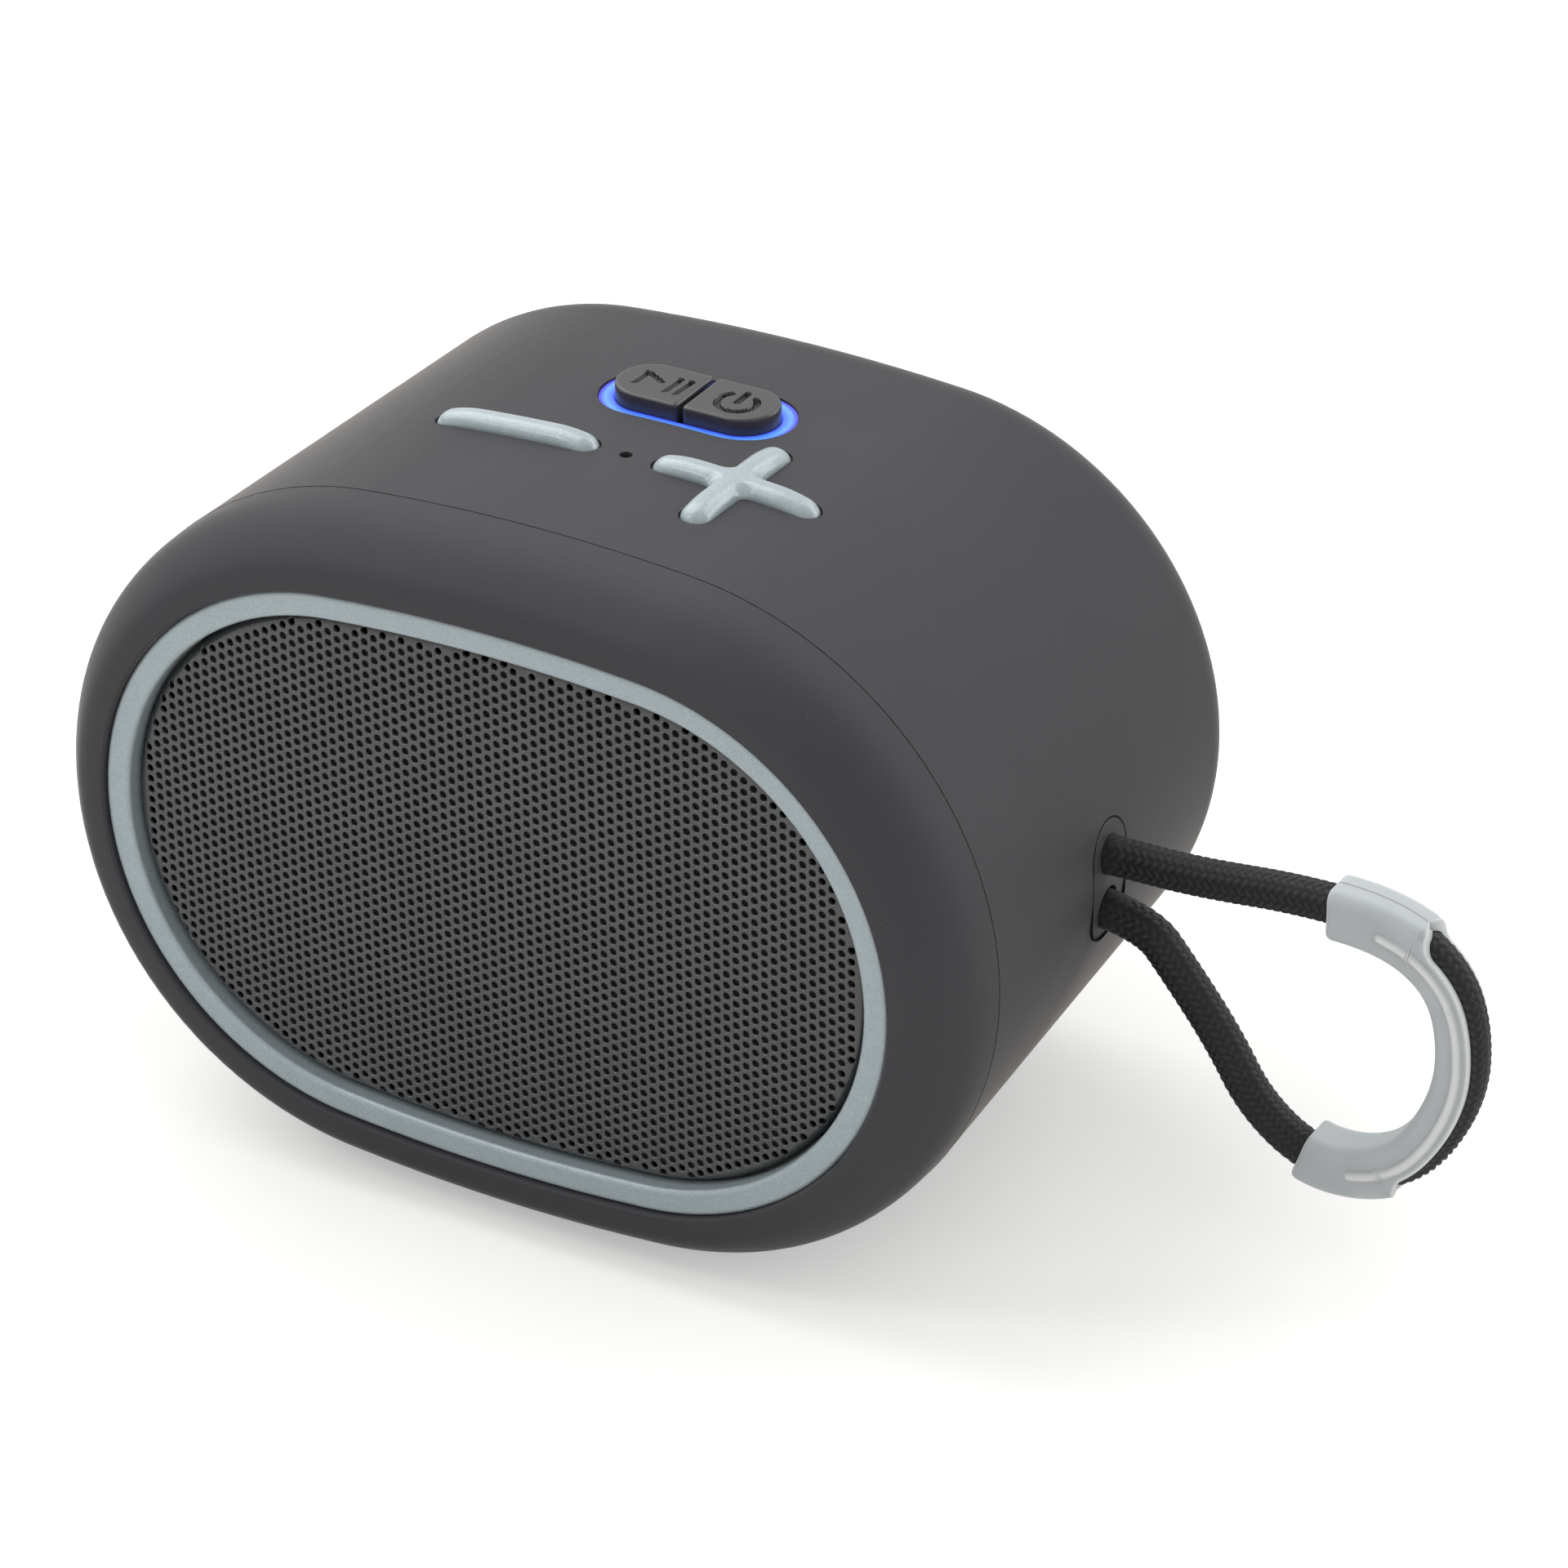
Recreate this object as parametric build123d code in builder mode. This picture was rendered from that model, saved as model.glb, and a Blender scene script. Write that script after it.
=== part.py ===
from build123d import *
import os
from math import atan2, ceil, cos, degrees, hypot, radians, sin, sqrt, tan

# Portable shower speaker: oval soft-touch housing, steel grille, four keys and a cord loop.
# Millimetres. +Z up, front faces -Y, the cord loop leaves on +X.
# The origin is on the table, under the middle of the housing.

# ---------------------------------------------------------------- driving dimensions
half_width = 53.0          # housing at its widest, just behind the front bezel
half_height = 38.4
crown_drop = 0.7           # flat top and bottom stand this far beyond the round ends
depth = 67.0
wall = 2.2
rear_wall = 2.6
side_draft = 0.0371        # half-width lost for each millimetre behind the seam
height_draft = 0.0706      # half-height lost likewise
axis_rise = 0.0366         # the middle of the oval climbs towards the back
rear_round = 6.3
foot_clearance = 1.0       # gap between the table and the lowest part of the housing

bezel_depth = 10.3         # front lip to seam
lip_inset = 7.05           # outline of the housing to the trim ring
ring_width = 2.88
ring_thickness = 2.4
ring_round = 0.55
ring_setback = 0.54        # trim ring sits this far behind the bezel's lip
fit_gap = 0.1              # clearance between snapped parts

grille_setback = 1.3       # grille face behind the trim ring face
grille_thickness = 0.5
grille_bend = 1.2          # outside radius where the grille's edge turns back
perforation_pitch = 5.0    # four times the punched pitch, which is 1.25
perforation_size = 3.2     # across the corners of one opening
cloth_thickness = 0.3

baffle_setback = 5.0       # baffle face behind the trim ring face
baffle_thickness = 2.4
spigot_depth = 4.0         # tongue of the bezel inside the shell
spigot_thickness = 1.5
mouth_wall = 1.8
gasket_width = 1.2
screw_circle_inset = 13.35  # bezel screws inside the round ends
screw_angle = 30.9         # and above or below their middles

driver_radius = 26.5
rim_radius = 22.4          # inner edge of the driver's frame
ear_radius = 2.4
gasket_thickness = 0.8
flange_thickness = 1.4
cone_radius = 20.5
surround_width = 3.6
magnet_radius = 16.0
coil_radius = 7.1          # middle of the voice coil's wall
ear_offset = 20.2          # screw ears of the driver, across and up

key_row_y = -4.3           # minus and plus keys and the microphone
key_offset = 12.75         # left and right of the middle
key_length = 19.0
key_width = 3.3
key_rise = 1.5             # shoulders of a key over the housing
tip_rise = 0.3             # and its tips
key_gap = 0.15             # around each key in its cut-out
key_travel = 0.5
stem_length = 1.5          # under a key's flange
plunger_rise = 0.7         # plunger over its switch
pad_y = 10.0               # capsule with the play and power keys
pad_length = 22.1
pad_width = 11.5
pad_key_length = 18.5
pad_key_width = 7.7
pad_key_rise = 1.4
pad_split = 0.6            # groove between play and power
symbol_depth = 0.3
symbol_stroke = 0.68
light_ring_drop = 0.45
mic_bore = 1.4

deck_depth = 4.4           # flat underside of the key area, below the crown
deck_margin = 4.0
key_flange = 0.8
board_thickness = 1.6
switch_size = 6.0
switch_height = 3.5
plunger_radius = 1.7

strap_y = 2.1              # the cord's plane, and the middle of its plug
cord_diameter = 4.2
cord_spacing = 6.0
plug_length = 13.8
plug_width = 7.8
plug_lip = 1.2             # the plug's flange behind the edge of its window
grip_wall = 0.45           # beside the cord
inner_wall = 1.0           # towards the middle of the loop
outer_wall = 0.6

port_length = 27.0
port_height = 11.0
port_drop = 0.5            # middle of the ports below the middle of the oval
port_to_board = 2.1        # and the main board's top face below that
cover_thickness = 1.3

# ---------------------------------------------------------------- places worked out from them
mid_z = foot_clearance + half_height
front_y = -depth / 2
rear_y = depth / 2
ring_y = front_y + ring_setback
seat_y = ring_y + ring_thickness
seam_y = front_y + bezel_depth
baffle_y = ring_y + baffle_setback
baffle_back_y = baffle_y + baffle_thickness
ring_inset = lip_inset + ring_width
deck_z = half_height - deck_depth
end_radius = half_height - crown_drop
end_x = half_width - end_radius
crown_radius = (end_x**2 + half_height**2 - end_radius**2) / (2 * crown_drop)


def facing(y):
    """Upright plane at y, seen from the front, with its origin at the middle of the oval."""
    return Plane(origin=(0, y, mid_z), x_dir=(1, 0, 0), z_dir=(0, -1, 0))


def oval(half_w, half_h, rise=0.0):
    """Face of two round ends and two flat crowns, tangent to each other."""
    round_r = half_h - crown_drop
    crown_r = ((half_w - round_r) ** 2 + half_h**2 - round_r**2) / (2 * crown_drop)
    share = crown_r / (crown_r - round_r)
    joint_x = (half_w - round_r) * share
    joint_z = (half_h - crown_r) * (1 - share)
    corners = [(joint_x, joint_z), (-joint_x, joint_z), (-joint_x, -joint_z), (joint_x, -joint_z)]
    middles = [(0, half_h), (-half_w, 0), (0, -half_h), (half_w, 0)]
    with BuildSketch() as face:
        with BuildLine():
            for i in range(4):
                a, m, b = corners[i], middles[i], corners[(i + 1) % 4]
                ThreePointArc((a[0], a[1] + rise), (m[0], m[1] + rise), (b[0], b[1] + rise))
        make_face()
    return face.sketch


def inset_oval(inset):
    """The housing's own outline, moved inwards."""
    return oval(half_width - inset, half_height - inset)


def top_of_housing(x, y):
    """Height of the outer surface over the middle of the oval."""
    fall = (height_draft - axis_rise) * (y - seam_y)
    return half_height - fall - x**2 / (2 * crown_radius)


def tapered_body(inset, front, back, edge_round):
    """Solid between the drafted walls of the housing, moved inwards by inset."""
    with BuildPart() as body:
        for y in (front, back):
            run = y - seam_y
            with BuildSketch(facing(y)):
                add(
                    oval(
                        half_width - side_draft * run - inset,
                        half_height - height_draft * run - inset,
                        axis_rise * run,
                    )
                )
        loft(ruled=True)
        fillet(body.edges().group_by(Axis.Y)[-1], edge_round)
    return body.part


envelope = tapered_body(0, seam_y, rear_y, rear_round)
cavity = tapered_body(wall, seam_y, rear_y - rear_wall, rear_round - wall)


def finish(builder, name):
    """Label the piece and write its STEP file."""
    builder.part.label = name
    export_step(builder.part, f"parts/{name}.step")


os.makedirs("parts", exist_ok=True)

# ---------------------------------------------------------------- front bezel with its baffle
spigot_inset = mouth_wall + fit_gap
gasket_y = seam_y + spigot_depth / 2
grille_inset = ring_inset + 2 * fit_gap
screw_circle = end_radius - screw_circle_inset
screw_x = end_x + screw_circle * cos(radians(screw_angle))
screw_z = screw_circle * sin(radians(screw_angle))
screw_spots = [(sx * screw_x, sz * screw_z) for sx in (-1, 1) for sz in (-1, 1)]
screw_shank = 1.25
screw_head = 2.4
head_height = 1.0
bezel_screw_length = 9.0
small_shank = 0.8
small_head = 1.7
blind_floor = 0.6          # left under the driver's screws
driver_hole = cone_radius + surround_width - 0.4
ear_spots = [(sx * ear_offset, sz * ear_offset) for sx in (-1, 1) for sz in (-1, 1)]

# The bezel's cross section turns about the centres of the oval's four arcs.
crown_z = half_height - crown_radius
joint_angle = degrees(atan2(-crown_z, end_x))
arcs = [
    ((end_x, 0), end_radius, -joint_angle, 2 * joint_angle),
    ((0, crown_z), crown_radius, joint_angle, 180 - 2 * joint_angle),
    ((-end_x, 0), end_radius, 180 - joint_angle, 2 * joint_angle),
    ((0, -crown_z), crown_radius, 180 + joint_angle, 180 - 2 * joint_angle),
]
lip_round = 0.25
with BuildPart() as front_bezel:
    for (cx, cz), radius, start, turn in arcs:
        radial = Vector(1, 0, 0).rotate(Axis.Y, -start)
        center = Vector(cx, 0, mid_z + cz)
        section = Plane(origin=center, x_dir=radial, z_dir=radial.cross(Vector(0, 1, 0)))
        with BuildSketch(section):
            with BuildLine():
                Spline(
                    (radius, seam_y),
                    (radius - 0.155 * lip_inset, front_y + 0.38 * bezel_depth),
                    (radius - 0.45 * lip_inset, front_y + 0.115 * bezel_depth),
                    (radius - lip_inset + lip_round, front_y),
                    tangents=((0, -1), (-1, 0)),
                )
                Polyline(
                    (radius - lip_inset + lip_round, front_y),
                    (radius - lip_inset, front_y + lip_round),
                    (radius - lip_inset, seat_y),
                    (radius - ring_inset, seat_y),
                    (radius - ring_inset, baffle_back_y),
                    (radius - spigot_inset - spigot_thickness, baffle_back_y),
                    (radius - spigot_inset - spigot_thickness, seam_y + spigot_depth),
                    (radius - spigot_inset, seam_y + spigot_depth),
                    (radius - spigot_inset, seam_y),
                    (radius, seam_y),
                )
            make_face()
        revolve(axis=Axis(center, (0, -1, 0)), revolution_arc=turn)
    with BuildSketch(facing(baffle_y)):
        add(inset_oval(ring_inset))
        Circle(driver_hole, mode=Mode.SUBTRACT)
    extrude(amount=-baffle_thickness)
    with BuildSketch(facing(gasket_y - gasket_width / 2)):
        add(inset_oval(mouth_wall))
        add(inset_oval(mouth_wall + gasket_width), mode=Mode.SUBTRACT)
    extrude(amount=-gasket_width, mode=Mode.SUBTRACT)
    with Locations(*[facing(baffle_y) * Pos(x, z, 0) for x, z in screw_spots]):
        CounterBoreHole(screw_shank + fit_gap, screw_head + fit_gap, head_height, baffle_thickness)
    with BuildSketch(facing(baffle_back_y)):
        with Locations(*ear_spots):
            Circle(small_shank)
    extrude(amount=baffle_thickness - blind_floor, mode=Mode.SUBTRACT)
finish(front_bezel, "front_bezel")

with BuildPart() as bezel_gasket:
    with BuildSketch(facing(gasket_y - gasket_width / 2)):
        add(inset_oval(mouth_wall))
        add(inset_oval(mouth_wall + gasket_width), mode=Mode.SUBTRACT)
    extrude(amount=-gasket_width)
finish(bezel_gasket, "bezel_gasket")

# ---------------------------------------------------------------- trim ring and grille
with BuildPart() as trim_ring:
    with BuildSketch(facing(ring_y)):
        add(inset_oval(lip_inset + fit_gap / 2))
        add(inset_oval(ring_inset), mode=Mode.SUBTRACT)
    extrude(amount=-ring_thickness)
    fillet(trim_ring.edges().group_by(Axis.Y)[0], ring_round)
finish(trim_ring, "trim_ring")


def inside_oval(x, z, inset):
    """True where a point lies within the outline moved inwards."""
    if abs(x) > end_x * crown_radius / (crown_radius - end_radius):
        return hypot(abs(x) - end_x, z) < end_radius - inset
    return hypot(x, abs(z) - crown_z) < crown_radius - inset


grille_y = ring_y + grille_setback
row_pitch = perforation_pitch * sqrt(3) / 2
columns = ceil(half_width / row_pitch)
rows = ceil(half_height / perforation_pitch) + 1
field_inset = grille_inset + grille_bend + 0.6 * perforation_pitch
perforations = []
for i in range(-columns, columns + 1):
    for j in range(-rows, rows + 1):
        x = i * row_pitch
        z = (j + (i % 2) / 2) * perforation_pitch
        if inside_oval(x, z, field_inset):
            perforations.append((x, z))

with BuildPart() as grille:
    with BuildSketch(facing(grille_y)):
        add(inset_oval(grille_inset))
    extrude(amount=-(baffle_y - grille_y))
    fillet(grille.edges().group_by(Axis.Y)[0], grille_bend)
    with BuildPart(mode=Mode.PRIVATE) as dish:
        with BuildSketch(facing(grille_y + grille_thickness)):
            add(inset_oval(grille_inset + grille_thickness))
        extrude(amount=-(baffle_y - grille_y))
        fillet(dish.edges().group_by(Axis.Y)[0], grille_bend - grille_thickness)
    add(dish.part, mode=Mode.SUBTRACT)
    with BuildSketch(facing(grille_y)):
        with Locations(*perforations):
            RegularPolygon(perforation_size / 2, 6)
    extrude(amount=-grille_thickness, mode=Mode.SUBTRACT)
finish(grille, "grille")

with BuildPart() as grille_cloth:
    with BuildSketch(facing(grille_y + grille_thickness)):
        add(inset_oval(grille_inset + grille_thickness + grille_bend))
    extrude(amount=-cloth_thickness)
finish(grille_cloth, "grille_cloth")

# ---------------------------------------------------------------- rear shell
flange_z = deck_z - fit_gap - key_flange
plunger_z = flange_z - stem_length
board_z = plunger_z - plunger_rise - switch_height
stud_x = 23.6
stud_back_y = pad_y + 4.4
stud_front_y = key_row_y - 3.9
stud_spots = [(sx * stud_x, y) for sx in (-1, 1) for y in (stud_front_y, stud_back_y)]
stud_radius = 2.4
stud_pilot = 5.0
post_radius = 3.2
cell_radius = 9.0
cell_length = 65.0
cell_y = 17.0
cell_gap = 0.8             # between the cell and the shelves over it
pad_foam = 0.6
cradle_x = 24.0
cradle_thickness = 3.0
cradle_margin = 3.0
shelf_x = 21.5
shelf_width = 4.5
shelf_height = 3.0
shelf_pilot = 2.4
port_z = -port_drop
main_board_z = port_z - port_to_board
main_board_front = 8.0
main_board_back = 28.5
main_board_margin = 3.5
shelf_top = main_board_z - board_thickness
cell_z = shelf_top - shelf_height - cell_gap - cell_radius
main_screw_spots = [(sx * shelf_x, y) for sx in (-1, 1) for y in (12.0, 24.5)]
port_pivot_z = port_z - port_height / 2
bay_round = 2.5
pivot_radius = cover_thickness / 2
foot_x = 20.0
foot_width = 7.0
foot_front_y = -15.0
foot_back_y = 24.0
foot_seat = 0.9
window_reach = 12.0
bottom_slope = height_draft + axis_rise
usb_x = 5.5
usb_width = 9.4
usb_height = 3.7
usb_shell_width = 8.9
usb_shell_height = 3.2
usb_z = main_board_z + usb_shell_height / 2
jack_x = -6.5
jack_radius = 1.9
jack_body_width = 6.0
jack_body_height = 5.0
jack_z = main_board_z + jack_body_height / 2


def bottom_of_housing(x, y):
    """Height over the table of the outer surface at the underside."""
    return foot_clearance + bottom_slope * (y - seam_y) + x**2 / (2 * crown_radius)


def foot_blank(x):
    """Wedge with rounded ends that fills a pocket in the underside."""
    with BuildPart() as blank:
        with BuildSketch(Plane.YZ.offset(x)):
            front = (foot_front_y, bottom_of_housing(x, foot_front_y) + foot_seat)
            back = (foot_back_y, bottom_of_housing(x, foot_back_y) + foot_seat)
            with BuildLine():
                Polyline((front[0], 0), (back[0], 0), back, front, close=True)
            make_face()
        extrude(amount=foot_width / 2, both=True)
        fillet(blank.edges().filter_by(Axis.Z), foot_width / 2 - 0.05)
    return blank.part


deck_width = 2 * (key_offset + key_length / 2 + deck_margin)
deck_front = key_row_y - key_length / 2 - deck_margin
deck_back = pad_y + pad_width / 2 + deck_margin
with BuildPart() as deck:
    with BuildSketch(Plane.XY.offset(mid_z + deck_z)):
        with Locations((0, (deck_front + deck_back) / 2)):
            RectangleRounded(deck_width, deck_back - deck_front, stud_radius)
    extrude(amount=2 * deck_depth)
    add(envelope, mode=Mode.INTERSECT)

with BuildPart() as cradles:
    for side in (-1, 1):
        with BuildSketch(Plane.YZ.offset(side * cradle_x)):
            with Locations((cell_y, mid_z + cell_z)):
                Rectangle(
                    2 * (cell_radius + cradle_margin),
                    half_height,
                    align=(Align.CENTER, Align.MAX),
                )
                Circle(cell_radius + pad_foam, mode=Mode.SUBTRACT)
        extrude(amount=cradle_thickness / 2, both=True)
    add(envelope, mode=Mode.INTERSECT)

shelf_length = rear_y - rear_wall / 2 - main_board_front
with BuildPart() as shelves:
    with BuildSketch(Plane.XY.offset(mid_z + shelf_top)):
        with Locations(*[(side * shelf_x, main_board_front) for side in (-1, 1)]):
            Rectangle(shelf_width, shelf_length, align=(Align.CENTER, Align.MIN))
    extrude(amount=-shelf_height)

with BuildPart() as rear_shell:
    add(envelope)
    add(cavity, mode=Mode.SUBTRACT)
    with BuildSketch(facing(seam_y)):
        add(inset_oval(mouth_wall))
    extrude(amount=-spigot_depth - 2 * fit_gap, mode=Mode.SUBTRACT)
    add(deck.part)
    # studs that carry the key board
    with BuildSketch(Plane.XY.offset(mid_z + board_z)):
        with Locations(*stud_spots):
            Circle(stud_radius)
    extrude(amount=deck_z - board_z)
    with BuildSketch(Plane.XY.offset(mid_z + board_z)):
        with Locations(*stud_spots):
            Circle(small_shank)
    extrude(amount=stud_pilot, mode=Mode.SUBTRACT)
    # posts for the bezel's screws run back to the rear wall
    with BuildSketch(facing(baffle_back_y)):
        with Locations(*screw_spots):
            Circle(post_radius)
    extrude(amount=-(rear_y - rear_wall / 2 - baffle_back_y))
    with BuildSketch(facing(baffle_back_y)):
        with Locations(*screw_spots):
            Circle(screw_shank)
    extrude(amount=-bezel_screw_length, mode=Mode.SUBTRACT)
    # cradles under the cell, and shelves that carry the main board
    add(cradles.part)
    add(shelves.part)
    with BuildSketch(Plane.XY.offset(mid_z + shelf_top)):
        with Locations(*main_screw_spots):
            Circle(small_shank)
    extrude(amount=-shelf_pilot, mode=Mode.SUBTRACT)
    # cut-outs for the keys, the light ring and the microphone
    with BuildSketch(Plane.XY.offset(mid_z + deck_z)):
        with Locations((-key_offset, key_row_y), (key_offset, key_row_y)):
            SlotOverall(key_length + 2 * key_gap, key_width + 2 * key_gap)
        with Locations((key_offset, key_row_y)):
            SlotOverall(key_length + 2 * key_gap, key_width + 2 * key_gap, rotation=90)
        with Locations((0, pad_y)):
            SlotOverall(pad_length, pad_width)
        with Locations((0, key_row_y)):
            Circle(mic_bore / 2)
    extrude(amount=2 * deck_depth, mode=Mode.SUBTRACT)
    # window for the strap plug
    with BuildSketch(Plane.YZ.offset(half_width)):
        with Locations((strap_y, mid_z)):
            SlotOverall(plug_length, plug_width, rotation=90)
    extrude(amount=-window_reach, mode=Mode.SUBTRACT)
    # bay for the port cover, with the hinge groove along its lower edge
    with BuildSketch(facing(rear_y)):
        with Locations((0, port_z)):
            Rectangle(port_length, port_height)
    extrude(amount=cover_thickness, mode=Mode.SUBTRACT)
    bay_corners = rear_shell.edges().filter_by(Axis.Y).filter_by_position(
        Axis.Z, mid_z + port_z + port_height / 2 - 0.1, mid_z + port_z + port_height / 2 + 0.1
    ).filter_by_position(Axis.Y, rear_y - cover_thickness, rear_y)
    fillet(bay_corners, bay_round)
    with BuildSketch(facing(rear_y - cover_thickness)):
        with Locations((usb_x, usb_z)):
            SlotOverall(usb_width, usb_height)
        with Locations((jack_x, jack_z)):
            Circle(jack_radius)
    extrude(amount=-rear_wall, both=True, mode=Mode.SUBTRACT)
    for side in (-1, 1):
        add(foot_blank(side * foot_x), mode=Mode.SUBTRACT)
finish(rear_shell, "rear_shell")

for side, name in ((-1, "left_foot"), (1, "right_foot")):
    with BuildPart() as foot:
        add(foot_blank(side * foot_x))
    finish(foot, name)


# ---------------------------------------------------------------- keys, light ring and switches
key_edge = 1.0
crest_round = 8.0          # the crown bends down to the tips with this radius
crest_run = 3.4            # from a tip to where the crown starts to fall
crest_overrun = 0.6        # the swept crown passes the tips and is trimmed to the plan
cap_depth = 3.0
core_depth = 1.15          # solid core under the crown, below the housing's surface
stem_radius = 1.5
flange_reach = 0.8         # a flange's overlap under the edge of its cut-out
minus_flange = 12.0
plus_flange = 11.0
pad_key_round = 0.7


def key_bar(x, y, turn):
    """Crowned bar that falls towards its tips; turn is its direction in plan."""
    along = Vector(1, 0, 0).rotate(Axis.Z, turn)
    across = Vector(0, 0, 1).cross(along)
    crown = Plane(origin=(x, y, mid_z), x_dir=along, z_dir=along.cross(Vector(0, 0, 1)))
    half = key_length / 2
    shoulder = half - crest_run
    end = half + crest_overrun
    end_lift = tip_rise - crest_overrun * (key_rise - tip_rise) / crest_run

    def over_housing(s, lift):
        return (s, top_of_housing(x + along.X * s, y + along.Y * s) + lift)

    with BuildPart() as bar:
        with BuildLine(crown) as crest:
            FilletPolyline(
                over_housing(-end, end_lift),
                over_housing(-shoulder, key_rise),
                over_housing(shoulder, key_rise),
                over_housing(end, end_lift),
                radius=crest_round,
            )
        start = Plane(origin=crest.wire() @ 0, x_dir=across, z_dir=crest.wire() % 0)
        with BuildSketch(start):
            with BuildLine():
                FilletPolyline(
                    (-key_width / 2, -cap_depth),
                    (-key_width / 2, 0),
                    (key_width / 2, 0),
                    (key_width / 2, -cap_depth),
                    radius=key_edge,
                )
                Line((key_width / 2, -cap_depth), (-key_width / 2, -cap_depth))
            make_face()
        sweep()
        with BuildSketch(crown):
            with BuildLine():
                Polyline(
                    (-half, flange_z),
                    over_housing(-half, -core_depth),
                    over_housing(0, -core_depth),
                    over_housing(half, -core_depth),
                    (half, flange_z),
                    close=True,
                )
            make_face()
        extrude(amount=key_width / 2, both=True)
        with BuildSketch(Plane.XY.offset(mid_z + flange_z)):
            with Locations((x, y)):
                SlotOverall(key_length, key_width, rotation=turn)
        extrude(amount=half_height, mode=Mode.INTERSECT)
    return bar.part


def switch_stem(x, y, top):
    """Round stem from the key's flange to the switch's plunger."""
    with BuildPart() as stem:
        with BuildSketch(Plane.XY.offset(mid_z + plunger_z)):
            with Locations((x, y)):
                Circle(stem_radius)
        extrude(amount=top - plunger_z)
    return stem.part


with BuildPart() as minus_key:
    add(key_bar(-key_offset, key_row_y, 0))
    with BuildSketch(Plane.XY.offset(mid_z + flange_z)):
        with Locations((-key_offset, key_row_y)):
            Rectangle(minus_flange, key_width + 2 * key_gap + 2 * flange_reach)
    extrude(amount=key_flange)
    add(switch_stem(-key_offset, key_row_y, flange_z))
finish(minus_key, "minus_key")

with BuildPart() as plus_key:
    for turn in (0, 90):
        add(key_bar(key_offset, key_row_y, turn))
    with BuildSketch(Plane.XY.offset(mid_z + flange_z)):
        with Locations((key_offset, key_row_y)):
            Rectangle(plus_flange, plus_flange)
    extrude(amount=key_flange)
    add(switch_stem(key_offset, key_row_y, flange_z))
finish(plus_key, "plus_key")

pad_top = top_of_housing(0, pad_y)
ring_flange = 1.0
pad_flange_z = deck_z - ring_flange - fit_gap - key_flange
pad_key_top = pad_top + pad_key_rise
pad_switch_x = 5.0


def strokes(*lines):
    """Round-ended strokes between pairs of points, measured from the middle of the pad."""
    with BuildSketch() as marks:
        for ax, ay, bx, by in lines:
            with Locations(((ax + bx) / 2, pad_y + (ay + by) / 2)):
                turn = degrees(atan2(by - ay, bx - ax))
                SlotCenterToCenter(hypot(bx - ax, by - ay), symbol_stroke, rotation=turn)
    return marks.sketch


power_x = 4.73
power_y = pad_y - 0.3
power_radius = 2.1
power_opening = 80         # degrees left open at the back of the ring
with BuildSketch() as play_symbol:
    add(strokes((-6.7, -1.1, -6.7, 1.3), (-6.7, 1.3, -4.4, 0.1)))
    add(strokes((-2.95, -1.45, -2.95, 1.4), (-1.7, -1.45, -1.7, 1.4)))
with BuildSketch() as power_symbol:
    ring_start = 90 + power_opening / 2
    SlotArc(
        CenterArc((power_x, power_y), power_radius, ring_start, 360 - power_opening),
        symbol_stroke,
    )
    add(strokes((power_x, -0.2, power_x, 1.9)))

symbols = {"play_key": play_symbol.sketch, "power_key": power_symbol.sketch}
for side, name in ((-1, "play_key"), (1, "power_key")):
    with BuildPart() as pad_key:
        with BuildSketch(Plane.XY.offset(mid_z + pad_flange_z)):
            with Locations((0, pad_y)):
                SlotOverall(pad_key_length, pad_key_width)
            with Locations((side * pad_split / 2, pad_y)):
                towards = Align.MIN if side > 0 else Align.MAX
                Rectangle(pad_length, pad_width, align=(towards, Align.CENTER), mode=Mode.INTERSECT)
        extrude(amount=pad_key_top - pad_flange_z)
        fillet(pad_key.edges().group_by(Axis.Z)[-1], pad_key_round)
        with BuildSketch(Plane.XY.offset(mid_z + pad_key_top)):
            add(symbols[name])
        extrude(amount=-symbol_depth, mode=Mode.SUBTRACT)
        with BuildSketch(Plane.XY.offset(mid_z + pad_flange_z)):
            with Locations((0, pad_y)):
                reach = 2 * (key_gap + flange_reach)
                SlotOverall(pad_key_length + reach, pad_key_width + reach)
            with Locations((side * pad_split / 2, pad_y)):
                Rectangle(2 * pad_length, pad_width, align=(towards, Align.CENTER), mode=Mode.INTERSECT)
        extrude(amount=key_flange)
        add(switch_stem(side * pad_switch_x, pad_y, pad_flange_z))
    finish(pad_key, name)

with BuildPart() as light_ring:
    with BuildSketch(Plane.XY.offset(mid_z + deck_z)):
        with Locations((0, pad_y)):
            SlotOverall(pad_length - 2 * fit_gap, pad_width - 2 * fit_gap)
    extrude(amount=pad_top - light_ring_drop - deck_z)
    with BuildSketch(Plane.XY.offset(mid_z + deck_z)):
        with Locations((0, pad_y)):
            SlotOverall(pad_length + 2 * flange_reach, pad_width + 2 * flange_reach)
    extrude(amount=-ring_flange)
    with BuildSketch(Plane.XY.offset(mid_z + deck_z - ring_flange)):
        with Locations((0, pad_y)):
            SlotOverall(pad_key_length + 2 * key_gap, pad_key_width + 2 * key_gap)
    extrude(amount=half_height, mode=Mode.SUBTRACT)
finish(light_ring, "light_ring")

switch_spots = {
    "minus": (-key_offset, key_row_y),
    "plus": (key_offset, key_row_y),
    "play": (-pad_switch_x, pad_y),
    "power": (pad_switch_x, pad_y),
}
plunger_sink = 1.2
for name, spot in switch_spots.items():
    with BuildPart() as plunger:
        with BuildSketch(Plane.XY.offset(mid_z + plunger_z)):
            with Locations(spot):
                Circle(plunger_radius)
        extrude(amount=-plunger_rise - plunger_sink)
    finish(plunger, f"{name}_plunger")

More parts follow.
